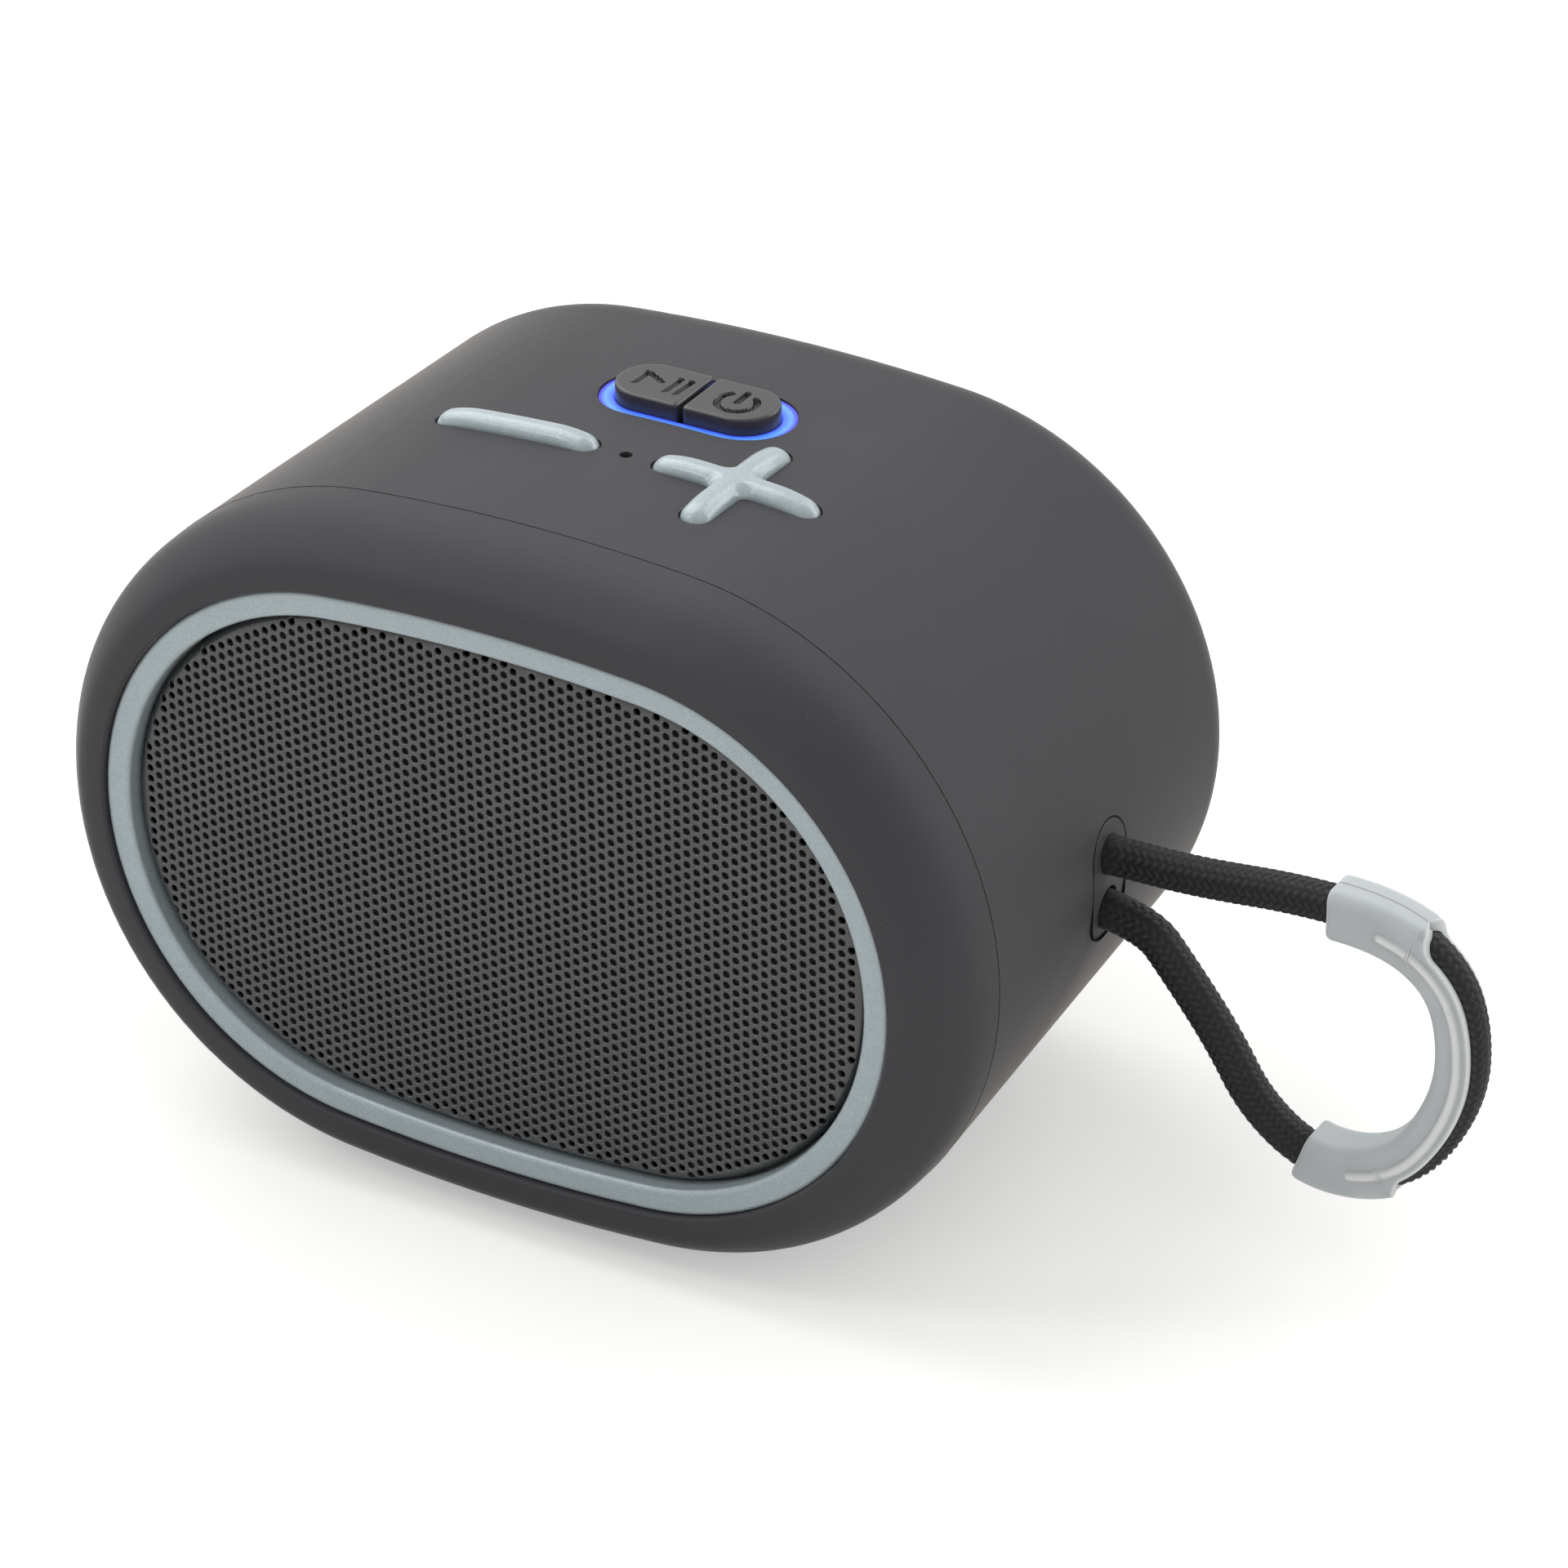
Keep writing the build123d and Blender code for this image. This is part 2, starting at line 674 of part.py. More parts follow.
with BuildPart() as tact_switches:
    with BuildSketch(Plane.XY.offset(mid_z + board_z)):
        with Locations(*switch_spots.values()):
            RectangleRounded(switch_size, switch_size, 0.5)
    extrude(amount=switch_height)
    with BuildSketch(Plane.XY.offset(mid_z + board_z + switch_height)):
        with Locations(*switch_spots.values()):
            Circle(plunger_radius + key_gap)
    extrude(amount=-plunger_sink - key_travel - 0.2, mode=Mode.SUBTRACT)
finish(tact_switches, "tact_switches")

board_margin = 3.2         # beyond the studs
board_front = stud_front_y - board_margin
board_back = stud_back_y + board_margin
with BuildPart() as key_board:
    with BuildSketch(Plane.XY.offset(mid_z + board_z)):
        with Locations((0, (board_front + board_back) / 2)):
            RectangleRounded(2 * (stud_x + board_margin), board_back - board_front, 2.0)
        with Locations(*stud_spots):
            Circle(small_shank + fit_gap, mode=Mode.SUBTRACT)
    extrude(amount=-board_thickness)
finish(key_board, "key_board")

led_size = 1.6
led_height = 1.2
led_x = (pad_length + pad_key_length) / 4
led_y = (pad_width + pad_key_width) / 4
led_spots = [(-led_x, pad_y), (led_x, pad_y), (0, pad_y - led_y), (0, pad_y + led_y)]
with BuildPart() as ring_leds:
    with BuildSketch(Plane.XY.offset(mid_z + board_z)):
        with Locations(*led_spots):
            Rectangle(led_size, led_size)
    extrude(amount=led_height)
finish(ring_leds, "ring_leds")

mic_radius = 2.0
mic_height = 1.4
boot_wall = 0.3
with BuildPart() as mic_capsule:
    with BuildSketch(Plane.XY.offset(mid_z + board_z)):
        with Locations((0, key_row_y)):
            Circle(mic_radius)
    extrude(amount=mic_height)
finish(mic_capsule, "mic_capsule")

with BuildPart() as mic_boot:
    with BuildSketch(Plane.XY.offset(mid_z + board_z + mic_height)):
        with Locations((0, key_row_y)):
            Circle(mic_radius + boot_wall)
            Circle(mic_bore / 2, mode=Mode.SUBTRACT)
    extrude(amount=deck_z - board_z - mic_height)
finish(mic_boot, "mic_boot")


# ---------------------------------------------------------------- screws
def pan_screw(place, shank, head, height, length):
    """Screw whose head stands on the plane and whose shank runs below it."""
    with BuildPart(place) as screw:
        Cylinder(head, height, align=(Align.CENTER, Align.CENTER, Align.MIN))
        Cylinder(shank, length, align=(Align.CENTER, Align.CENTER, Align.MAX))
    return screw.part


def from_behind(x, y, z):
    """Plane at a point, seen from behind."""
    return Plane(origin=(x, y, mid_z + z), x_dir=(-1, 0, 0), z_dir=(0, 1, 0))


def under(x, y, z):
    """Plane at a point, seen from below."""
    return Plane(origin=(x, y, mid_z + z), x_dir=(1, 0, 0), z_dir=(0, 0, -1))


ear_back_y = baffle_back_y + gasket_thickness + flange_thickness
with BuildPart() as bezel_screws:
    for x, z in screw_spots:
        place = Plane(origin=(x, baffle_y + head_height, mid_z + z), z_dir=(0, -1, 0))
        add(pan_screw(place, screw_shank, screw_head, head_height, bezel_screw_length))
finish(bezel_screws, "bezel_screws")

with BuildPart() as driver_screws:
    for x, z in ear_spots:
        length = ear_back_y - baffle_y - blind_floor - 2 * fit_gap
        add(pan_screw(from_behind(x, ear_back_y, z), small_shank, small_head, head_height, length))
finish(driver_screws, "driver_screws")

with BuildPart() as key_board_screws:
    for x, y in stud_spots:
        place = under(x, y, board_z - board_thickness)
        add(pan_screw(place, small_shank, small_head, head_height, board_thickness + 4.0))
finish(key_board_screws, "key_board_screws")

with BuildPart() as main_board_screws:
    for x, y in main_screw_spots:
        place = Plane((x, y, mid_z + main_board_z))
        add(pan_screw(place, small_shank, small_head, head_height, board_thickness + 2.0))
finish(main_board_screws, "main_board_screws")

# ---------------------------------------------------------------- loudspeaker driver
frame_y = baffle_back_y + gasket_thickness
ledge_radius = magnet_radius - 1.0
basket_radius = magnet_radius + 1.6
ledge_y = 11.5
motor_y = ledge_y + 4.0
plate_thickness = 3.0
magnet_length = 8.0
neck_y = 9.0
paper = 0.5


def turned(points):
    """Profile of radius and distance behind the driver's frame, turned about the driver's axis."""
    with BuildPart() as body:
        with BuildSketch(Plane.XY.offset(mid_z)):
            with BuildLine():
                Polyline(*[(r, frame_y + y) for r, y in points], close=True)
            make_face()
        revolve(axis=Axis((0, 0, mid_z), (0, 1, 0)))
    return body.part


with BuildPart() as driver_basket:
    add(
        turned(
            [
                (rim_radius, 0),
                (driver_radius, 0),
                (driver_radius, flange_thickness),
                (rim_radius + 2.0, flange_thickness),
                (basket_radius, ledge_y),
                (basket_radius, motor_y),
                (coil_radius + 2.0, motor_y),
                (coil_radius + 2.0, motor_y - 1.0),
                (ledge_radius, motor_y - 1.0),
                (ledge_radius, ledge_y),
                (basket_radius - 0.8, ledge_y),
                (rim_radius + 0.8, flange_thickness),
                (rim_radius, flange_thickness - 0.4),
            ]
        )
    )
    with BuildSketch(facing(frame_y + flange_thickness + 1.2)):
        with PolarLocations((basket_radius + driver_radius) / 2, 4):
            Rectangle(driver_radius - basket_radius + 4.0, basket_radius)
    extrude(amount=-(ledge_y - flange_thickness - 2.4), mode=Mode.SUBTRACT)
    with BuildSketch(facing(baffle_back_y)):
        with Locations(*ear_spots):
            Circle(ear_radius)
    extrude(amount=-gasket_thickness)
    with BuildSketch(facing(frame_y)):
        with Locations(*ear_spots):
            Circle(ear_radius + 0.6)
        Circle(rim_radius + 1.0, mode=Mode.SUBTRACT)
    extrude(amount=-flange_thickness)
    with BuildSketch(facing(baffle_back_y)):
        with Locations(*ear_spots):
            Circle(small_shank)
    extrude(amount=-gasket_thickness - flange_thickness, mode=Mode.SUBTRACT)
finish(driver_basket, "driver_basket")

with BuildPart() as driver_gasket:
    with BuildSketch(facing(baffle_back_y)):
        Circle(driver_radius - 1.1)
        Circle(driver_hole + 0.6, mode=Mode.SUBTRACT)
    extrude(amount=-gasket_thickness)
finish(driver_gasket, "driver_gasket")

coil_wall = 0.5
coil_gap = 0.3
hole_radius = coil_radius + coil_wall / 2 + coil_gap
pole_radius = coil_radius - coil_wall / 2 - coil_gap
magnet_y = motor_y + plate_thickness
yoke_y = magnet_y + magnet_length
motor_parts = {
    "top_plate": [
        (hole_radius, motor_y),
        (ledge_radius, motor_y),
        (ledge_radius, magnet_y),
        (hole_radius, magnet_y),
    ],
    "magnet": [
        (hole_radius + 2.0, magnet_y),
        (magnet_radius, magnet_y),
        (magnet_radius, yoke_y),
        (hole_radius + 2.0, yoke_y),
    ],
    "yoke": [
        (0, motor_y),
        (pole_radius, motor_y),
        (pole_radius, yoke_y),
        (ledge_radius, yoke_y),
        (ledge_radius, yoke_y + plate_thickness),
        (0, yoke_y + plate_thickness),
    ],
}
for name, points in motor_parts.items():
    with BuildPart() as motor_piece:
        add(turned(points))
    finish(motor_piece, name)

coil_outside = coil_radius + coil_wall / 2
coil_inside = coil_radius - coil_wall / 2
cone_front_y = 0.6
moving_parts = {
    "voice_coil": [
        (coil_inside, neck_y),
        (coil_outside, neck_y),
        (coil_outside, magnet_y + 4.5),
        (coil_inside, magnet_y + 4.5),
    ],
    "cone": [
        (coil_outside, neck_y),
        (cone_radius, cone_front_y),
        (cone_radius, cone_front_y + paper),
        (coil_outside, neck_y + paper),
    ],
}
for name, points in moving_parts.items():
    with BuildPart() as moving_piece:
        add(turned(points))
    finish(moving_piece, name)


def dome(radius, base_y, height, thickness):
    """Thin cap that bulges to the front, with its rim at base_y."""
    with BuildPart() as cap:
        with BuildSketch(Plane.XY.offset(mid_z)):
            with BuildLine():
                outer = Spline(
                    (0, frame_y + base_y - height),
                    (radius, frame_y + base_y),
                    tangents=((1, 0), (0.55, 1)),
                )
                inner = Spline(
                    (0, frame_y + base_y - height + thickness),
                    (radius - thickness, frame_y + base_y),
                    tangents=((1, 0), (0.55, 1)),
                )
                Line(outer @ 0, inner @ 0)
                Line(outer @ 1, inner @ 1)
            make_face()
        revolve(axis=Axis((0, 0, mid_z), (0, 1, 0)))
    return cap.part


cap_radius = 8.6
cap_y = neck_y - (cap_radius - coil_outside) * (neck_y - cone_front_y) / (cone_radius - coil_outside)
cap_height = 3.2
cap_thickness = 0.4
with BuildPart() as dust_cap:
    add(dome(cap_radius, cap_y, cap_height, cap_thickness))
finish(dust_cap, "dust_cap")

roll_outside = cone_radius + surround_width
lip_width = 0.7
rubber = 0.4
with BuildPart() as surround:
    with BuildSketch(Plane.XY.offset(mid_z)):
        with BuildLine():
            rear = frame_y - fit_gap
            crest = (roll_outside - lip_width + cone_radius) / 2
            ThreePointArc((cone_radius, rear), (crest, rear - 1.3), (roll_outside - lip_width, rear))
            Line((roll_outside - lip_width, rear), (roll_outside, rear))
            Line((roll_outside, rear), (roll_outside, rear - rubber))
            Line((roll_outside, rear - rubber), (roll_outside - lip_width, rear - rubber))
            ThreePointArc(
                (roll_outside - lip_width, rear - rubber),
                (crest, rear - 1.3 - rubber),
                (cone_radius, rear - rubber),
            )
            Line((cone_radius, rear - rubber), (cone_radius, rear))
        make_face()
    revolve(axis=Axis((0, 0, mid_z), (0, 1, 0)))
finish(surround, "surround")

spider_points = [(coil_outside + fit_gap, ledge_y - rubber), (ledge_radius + 1.6, ledge_y - rubber)]
spider_points += [(ledge_radius + 1.6, ledge_y), (coil_outside + fit_gap, ledge_y)]
with BuildPart() as spider:
    add(turned(spider_points))
finish(spider, "spider")

# ---------------------------------------------------------------- main board, sockets and cell
with BuildPart() as main_board:
    with BuildSketch(Plane.XY.offset(mid_z + main_board_z)):
        with Locations((0, (main_board_front + main_board_back) / 2)):
            RectangleRounded(
                2 * (shelf_x + main_board_margin), main_board_back - main_board_front, 1.5
            )
        with Locations(*main_screw_spots):
            Circle(small_shank + fit_gap, mode=Mode.SUBTRACT)
    extrude(amount=-board_thickness)
finish(main_board, "main_board")

socket_face_y = rear_y - rear_wall - fit_gap
socket_wall = 0.35
usb_shell_length = 7.4
usb_depth = 6.2
tongue_width = 6.7
tongue_thickness = 0.7
with BuildPart() as usb_socket:
    usb_face = Plane(origin=(usb_x, socket_face_y, mid_z + usb_z), x_dir=(1, 0, 0), z_dir=(0, -1, 0))
    with BuildSketch(usb_face):
        SlotOverall(usb_shell_width, usb_shell_height)
    extrude(amount=usb_shell_length)
    with BuildSketch(usb_face):
        SlotOverall(usb_shell_width - 2 * socket_wall, usb_shell_height - 2 * socket_wall)
    extrude(amount=usb_depth, mode=Mode.SUBTRACT)
    with BuildSketch(usb_face):
        Rectangle(tongue_width, tongue_thickness)
    extrude(amount=usb_shell_length)
finish(usb_socket, "usb_socket")

jack_length = 11.0
jack_bore = 1.8
jack_depth = 9.5
with BuildPart() as aux_socket:
    jack_face = Plane(origin=(jack_x, socket_face_y, mid_z + jack_z), x_dir=(1, 0, 0), z_dir=(0, -1, 0))
    with BuildSketch(jack_face):
        Rectangle(jack_body_width, jack_body_height)
    extrude(amount=jack_length)
    with BuildSketch(jack_face):
        Circle(jack_bore)
    extrude(amount=jack_depth, mode=Mode.SUBTRACT)
finish(aux_socket, "aux_socket")

with BuildPart() as battery:
    with BuildSketch(Plane.YZ):
        with Locations((cell_y, mid_z + cell_z)):
            Circle(cell_radius)
    extrude(amount=cell_length / 2, both=True)
    fillet(battery.edges(), 0.8)
finish(battery, "battery")

with BuildPart() as battery_pads:
    for side in (-1, 1):
        with BuildSketch(Plane.YZ.offset(side * cradle_x)):
            with Locations((cell_y, mid_z + cell_z)):
                Circle(cell_radius + pad_foam)
                Circle(cell_radius, mode=Mode.SUBTRACT)
                Rectangle(
                    4 * cell_radius,
                    2 * cell_radius,
                    align=(Align.CENTER, Align.MAX),
                    mode=Mode.INTERSECT,
                )
        extrude(amount=cradle_thickness / 2, both=True)
finish(battery_pads, "battery_pads")

# ---------------------------------------------------------------- port cover
pivot_z = port_pivot_z + pivot_radius + fit_gap
pivot_y = rear_y - cover_thickness / 2
cover_top = port_z + port_height / 2 - key_gap
with BuildPart() as port_cover:
    with BuildSketch(facing(rear_y)):
        with Locations((0, (pivot_z + cover_top) / 2)):
            Rectangle(port_length - 2 * key_gap, cover_top - pivot_z)
    extrude(amount=2 * (rear_y - pivot_y) - fit_gap, dir=(0, -1, 0))
    fillet(port_cover.edges().filter_by(Axis.Y).group_by(Axis.Z)[-1], bay_round - key_gap)
    with BuildSketch(Plane.YZ):
        with Locations((pivot_y, mid_z + pivot_z)):
            Circle(pivot_radius)
    extrude(amount=port_length / 2 - key_gap, both=True)
finish(port_cover, "port_cover")

# ---------------------------------------------------------------- strap: plug, anchor, cord and grip
side_x = half_width - side_draft * (strap_y - seam_y)
plug_flange_depth = 3.4
plug_flange_x = side_x - wall - plug_flange_depth
plug_depth = half_width - plug_flange_x
anchor_depth = 4.5
cord_radius = cord_diameter / 2
cord_exits = [(strap_y, mid_z + side * cord_spacing / 2) for side in (-1, 1)]
with BuildPart() as plug_flange:
    with BuildSketch(Plane.YZ.offset(plug_flange_x)):
        with Locations((strap_y, mid_z)):
            SlotOverall(plug_length + 2 * plug_lip, plug_width + 2 * plug_lip, rotation=90)
    extrude(amount=plug_depth)
    add(cavity, mode=Mode.INTERSECT)

with BuildPart() as strap_plug:
    with BuildSketch(Plane.YZ.offset(plug_flange_x)):
        with Locations((strap_y, mid_z)):
            SlotOverall(plug_length - 4 * fit_gap, plug_width - 4 * fit_gap, rotation=90)
    extrude(amount=plug_depth)
    add(envelope, mode=Mode.INTERSECT)
    add(plug_flange.part)
    with BuildSketch(Plane.YZ.offset(plug_flange_x)):
        with Locations(*cord_exits):
            Circle(cord_radius + fit_gap / 2)
    extrude(amount=plug_depth, mode=Mode.SUBTRACT)
finish(strap_plug, "strap_plug")

# The cord's route in the upright plane of the plug: distance from the housing's side and height
# over the middle of the oval.
cord_exit = cord_spacing / 2
cord_bends = [
    (-7.5, cord_exit),
    (2.2, cord_exit),
    (10.1, 3.2),
    (21.2, 4.5),
    (31.1, 4.3),
    (37.1, 1.1),
    (39.9, -4.3),
    (40.1, -13.0),
    (35.6, -22.0),
    (29.7, -25.4),
    (22.9, -25.4),
    (16.9, -21.1),
    (13.3, -14.9),
    (8.5, -8.7),
    (3.6, -cord_exit),
    (-7.5, -cord_exit),
]
cord_route = [(side_x + x, z) for x, z in cord_bends]


def corner_radii(route):
    """The largest arc that each corner's two runs allow."""
    radii = []
    for before, corner, after in zip(route, route[1:], route[2:]):
        a = Vector(*corner) - Vector(*before)
        b = Vector(*after) - Vector(*corner)
        radii.append(0.45 * min(a.length, b.length) / tan(radians(a.get_angle(b) / 2)))
    return radii


cord_radii = corner_radii(cord_route)
print("cord radii", [round(r, 1) for r in cord_radii])
with BuildPart() as strap_cord:
    with BuildLine(facing(strap_y)) as cord_path:
        FilletPolyline(*cord_route, radius=cord_radii)
    with BuildSketch(Plane(origin=cord_path.wire() @ 0, z_dir=cord_path.wire() % 0)):
        Circle(cord_radius)
    sweep()
cord_length = cord_path.wire().length
print("cord length", round(cord_length, 1))
finish(strap_cord, "strap_cord")

with BuildPart() as strap_anchor:
    with BuildSketch(Plane.YZ.offset(plug_flange_x)):
        with Locations((strap_y, mid_z)):
            RectangleRounded(plug_width + plug_lip, plug_length + plug_lip, cord_radius)
    extrude(amount=-anchor_depth)
    with BuildSketch(Plane.YZ.offset(cord_route[0][0])):
        with Locations(*cord_exits):
            Circle(cord_radius)
    extrude(amount=anchor_depth, mode=Mode.SUBTRACT)
finish(strap_anchor, "strap_anchor")

grip_start = 32.4          # along the cord to the grip's upper mouth
grip_end = 83.0
sleeve_length = 9.5        # closed stretch behind each mouth
grip_width = cord_diameter + 2 * grip_wall
grip_round = 1.2
lip_reach = 1.15           # the channel's sides reach this far outside the cord's middle
rib_run = 5.5              # from a mouth to the end of the rib
rib_width = 1.0
rib_height = 0.35
rib_inset = 0.35           # from the cord's middle towards the middle of the loop


def grip_section(first, last):
    """Stretch of the cord's path and the plane across its start; +Y points into the loop."""
    stretch = cord_path.wire().trim(first / cord_length, last / cord_length)
    return stretch, Plane(origin=stretch @ 0, x_dir=(0, -1, 0), z_dir=stretch % 0)


def grip_piece(first, last, closed):
    """Stretch of the grip: a closed sleeve, or a channel that is open on its outer side."""
    stretch, start = grip_section(first, last)
    side = grip_width / 2
    inner = cord_radius + inner_wall
    outer = cord_radius + outer_wall if closed else lip_reach
    with BuildPart() as piece:
        with BuildSketch(start):
            with BuildLine():
                FilletPolyline(
                    (-side, 0),
                    (-side, inner),
                    (side, inner),
                    (side, 0),
                    radius=grip_round,
                )
                if closed:
                    FilletPolyline(
                        (side, 0),
                        (side, -outer),
                        (-side, -outer),
                        (-side, 0),
                        radius=grip_round,
                    )
                else:
                    Polyline(
                        (side, 0),
                        (side, -outer),
                        (-side, -outer),
                        (-side, 0),
                    )
            make_face()
            Circle(cord_radius, mode=Mode.SUBTRACT)
        sweep(path=stretch)
    return piece.part


rib_path, rib_plane = grip_section(grip_start + rib_run, grip_end - rib_run)
with BuildPart() as grip_ribs:
    with BuildSketch(rib_plane):
        with Locations((grip_width / 2, rib_inset), (-grip_width / 2, rib_inset)):
            RectangleRounded(2 * rib_height, rib_width, 0.9 * rib_height)
    sweep(path=rib_path)

with BuildPart() as strap_grip:
    add(grip_piece(grip_start, grip_start + sleeve_length, True))
    add(grip_piece(grip_start + sleeve_length, grip_end - sleeve_length, False))
    add(grip_piece(grip_end - sleeve_length, grip_end, True))
    add(grip_ribs.part)
finish(strap_grip, "strap_grip")
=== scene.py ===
from math import acos, atan2, ceil, copysign, cos, hypot, pi, radians, sin, sqrt

import bmesh
import bpy
from mathutils import Matrix, Vector
from mathutils.geometry import delaunay_2d_cdt


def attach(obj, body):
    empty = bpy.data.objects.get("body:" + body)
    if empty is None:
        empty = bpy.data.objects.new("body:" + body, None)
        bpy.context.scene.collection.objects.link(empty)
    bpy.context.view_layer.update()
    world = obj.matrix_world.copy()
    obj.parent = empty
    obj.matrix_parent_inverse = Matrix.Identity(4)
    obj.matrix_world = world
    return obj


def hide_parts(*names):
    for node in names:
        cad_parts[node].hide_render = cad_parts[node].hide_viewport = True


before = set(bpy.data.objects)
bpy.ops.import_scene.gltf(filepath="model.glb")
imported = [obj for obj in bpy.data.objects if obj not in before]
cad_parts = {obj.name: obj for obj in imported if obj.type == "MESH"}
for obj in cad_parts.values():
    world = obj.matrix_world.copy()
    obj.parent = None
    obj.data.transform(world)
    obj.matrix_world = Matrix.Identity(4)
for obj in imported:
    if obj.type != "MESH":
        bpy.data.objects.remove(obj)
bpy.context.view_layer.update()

mm = 0.001
scene = bpy.context.scene
scene.view_settings.view_transform = "Standard"

# Camera, a little above the speaker and to its right
studioView = {
    "place": (0.298, -0.49256, 0.3671),
    "right": (0.8688, 0.4952, -0.0043),
    "up": (-0.2433, 0.4342, 0.8674),
    "back": (0.4314, -0.7525, 0.4977),
    "lens": 146.65,  # mm
    "sensor": 36.0,
    "clip": (0.01, 20),
}
cameraData = bpy.data.cameras.new("studioCamera")
cameraData.sensor_width = studioView["sensor"]
cameraData.lens = studioView["lens"]
cameraData.clip_start, cameraData.clip_end = studioView["clip"]
camera = bpy.data.objects.new("studioCamera", cameraData)
scene.collection.objects.link(camera)
turn = Matrix((studioView["right"], studioView["up"], studioView["back"])).transposed()
camera.rotation_mode = "QUATERNION"
camera.rotation_quaternion = turn.to_quaternion()
camera.location = studioView["place"]
scene.camera = camera


def toLinear(hexColour):
    channels = [int(hexColour[i:i + 2], 16) / 255 for i in (1, 3, 5)]
    return [c / 12.92 if c <= 0.04045 else ((c + 0.055) / 1.055) ** 2.4 for c in channels] + [1.0]


def tones(dark, light, low=0.3, high=0.7):  # where a colour band starts and ends
    return [(low, toLinear(dark)), (high, toLinear(light))]


def addNode(tree, kind, settings):
    node = tree.nodes.new("ShaderNode" + kind)
    for key, value in settings.items():
        if key == "stops":  # colour bands along a value
            for i, (at, colour) in enumerate(value):
                stop = node.color_ramp.elements[i] if i < 2 else node.color_ramp.elements.new(at)
                stop.position, stop.color = at, colour
        elif isinstance(key, str) and hasattr(node, key):
            setattr(node, key, value)
        elif isinstance(value, bpy.types.NodeSocket):
            tree.links.new(value, node.inputs[key])
        else:
            node.inputs[key].default_value = value
    return node


def newSurface(name):  # an empty material and the place of each point on the speaker, in metres
    surface = bpy.data.materials.new(name)
    surface.use_nodes = True
    surface.node_tree.nodes.clear()
    tree = surface.node_tree
    return surface, tree, addNode(tree, "TexCoord", {}).outputs["Object"]


weld = 2e-7  # m, points nearer than this are one


def addPiece(name, points, faces, body, finish, surface, stands=(), sharp=40):  # points in mm
    mesh = bpy.data.meshes.new(name)
    mesh.from_pydata([[c * mm for c in p] for p in points], [], faces)
    shape = bmesh.new()
    shape.from_mesh(mesh)
    bmesh.ops.remove_doubles(shape, verts=shape.verts, dist=weld)
    bmesh.ops.recalc_face_normals(shape, faces=shape.faces)
    shape.to_mesh(mesh)
    shape.free()
    mesh.polygons.foreach_set("use_smooth", [True] * len(mesh.polygons))
    mesh.set_sharp_from_angle(angle=radians(sharp))
    mesh.materials.append(surface)
    piece = bpy.data.objects.new(name, mesh)
    scene.collection.objects.link(piece)
    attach(piece, body)
    if stands:
        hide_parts(*stands)
    return piece


def wallBetween(ring, first):  # faces from a ring of points to the equal ring that starts at first
    count = len(ring)
    return [(ring[k], ring[(k + 1) % count], first + (k + 1) % count, first + k) for k in range(count)]


def joinLoops(loops, closed=False):  # faces between neighbouring loops of equal length
    count, faces = len(loops[0]), []
    for k in range(len(loops) if closed else len(loops) - 1):
        faces += wallBetween(range(k * count, (k + 1) * count), (k + 1) % len(loops) * count)
    return [p for loop in loops for p in loop], faces


# Housing, in mm: what the shapes below share with it
housing = {
    "halfWidth": 53.0,
    "halfHeight": 38.4,
    "crownDrop": 0.7,  # how much flatter the top is than the round ends
    "middle": 39.4,
    "seam": -23.2,
    "topFall": 0.034,  # the top sinks this much per mm towards the back
    "grilleInset": 10.13,
    "grilleFace": -31.66,
    "baffleFace": -27.96,
}


def ovalArcs(inset):  # centre, radius, start and turn of the outline's four arcs
    halfW, halfH = housing["halfWidth"] - inset, housing["halfHeight"] - inset
    roundR = halfH - housing["crownDrop"]
    crownR = ((halfW - roundR) ** 2 + halfH**2 - roundR**2) / (2 * housing["crownDrop"])
    angle = atan2(crownR - halfH, halfW - roundR)
    return [
        ((halfW - roundR, 0), roundR, -angle, 2 * angle),
        ((0, halfH - crownR), crownR, angle, pi - 2 * angle),
        ((roundR - halfW, 0), roundR, pi - angle, 2 * angle),
        ((0, crownR - halfH), crownR, pi + angle, pi - 2 * angle),
    ]


def ovalLoop(inset, spacing=0.9):
    loop = []
    for (cx, cz), radius, start, sweep in ovalArcs(inset):
        steps = ceil((radius + inset) * sweep / spacing)
        angles = [start + sweep * i / steps for i in range(steps)]
        loop += [(cx + radius * cos(a), cz + radius * sin(a)) for a in angles]
    return loop


def ovalInset(x, z):  # how far inside the housing's outline a point lies
    (ex, _), endR, _, _ = ovalArcs(0)[0]
    (_, cz), crownR, _, _ = ovalArcs(0)[1]
    if abs(x) * (crownR - endR) > ex * crownR:
        return endR - hypot(abs(x) - ex, z)
    return crownR - hypot(x, abs(z) - cz)


def topOfHousing(x, y):
    crownR = ovalArcs(0)[1][1]
    return housing["halfHeight"] - housing["topFall"] * (y - housing["seam"]) - x * x / (2 * crownR) + housing["middle"]


# Strap: braided cord through a silicone grip
strap = {
    "plane": 2.1,
    "radius": 2.1,
    "length": 0.1234,  # m, end to end
    "strands": 14,  # each way round
    "plait": 0.92,  # mm along the cord for one crossing
    "relief": 0.3,
    "squareness": 0.94,  # of a strand's section, 1 would make its flanks upright
    "dive": 0.25,  # height left where a strand goes under
    "swell": 0.6,
    "flatEnd": 8.0,  # the plug grips the braid flat this far from either end
    "flatRun": 2,
    "flatShare": 0.1,
    "route": [(44.6, 3.0), (54.3, 3.0), (62.2, 3.2), (73.3, 4.5), (83.2, 4.3), (89.2, 1.1),
              (92.0, -4.3), (92.2, -13.0), (87.7, -22.0), (81.8, -25.4), (75.0, -25.4),
              (69.0, -21.1), (65.4, -14.9), (60.6, -8.7), (55.7, -3.0), (44.6, -3.0)],
}
guide = bpy.data.curves.new("strapGuide", "CURVE")
guide.dimensions = "3D"
guide.resolution_u = 48
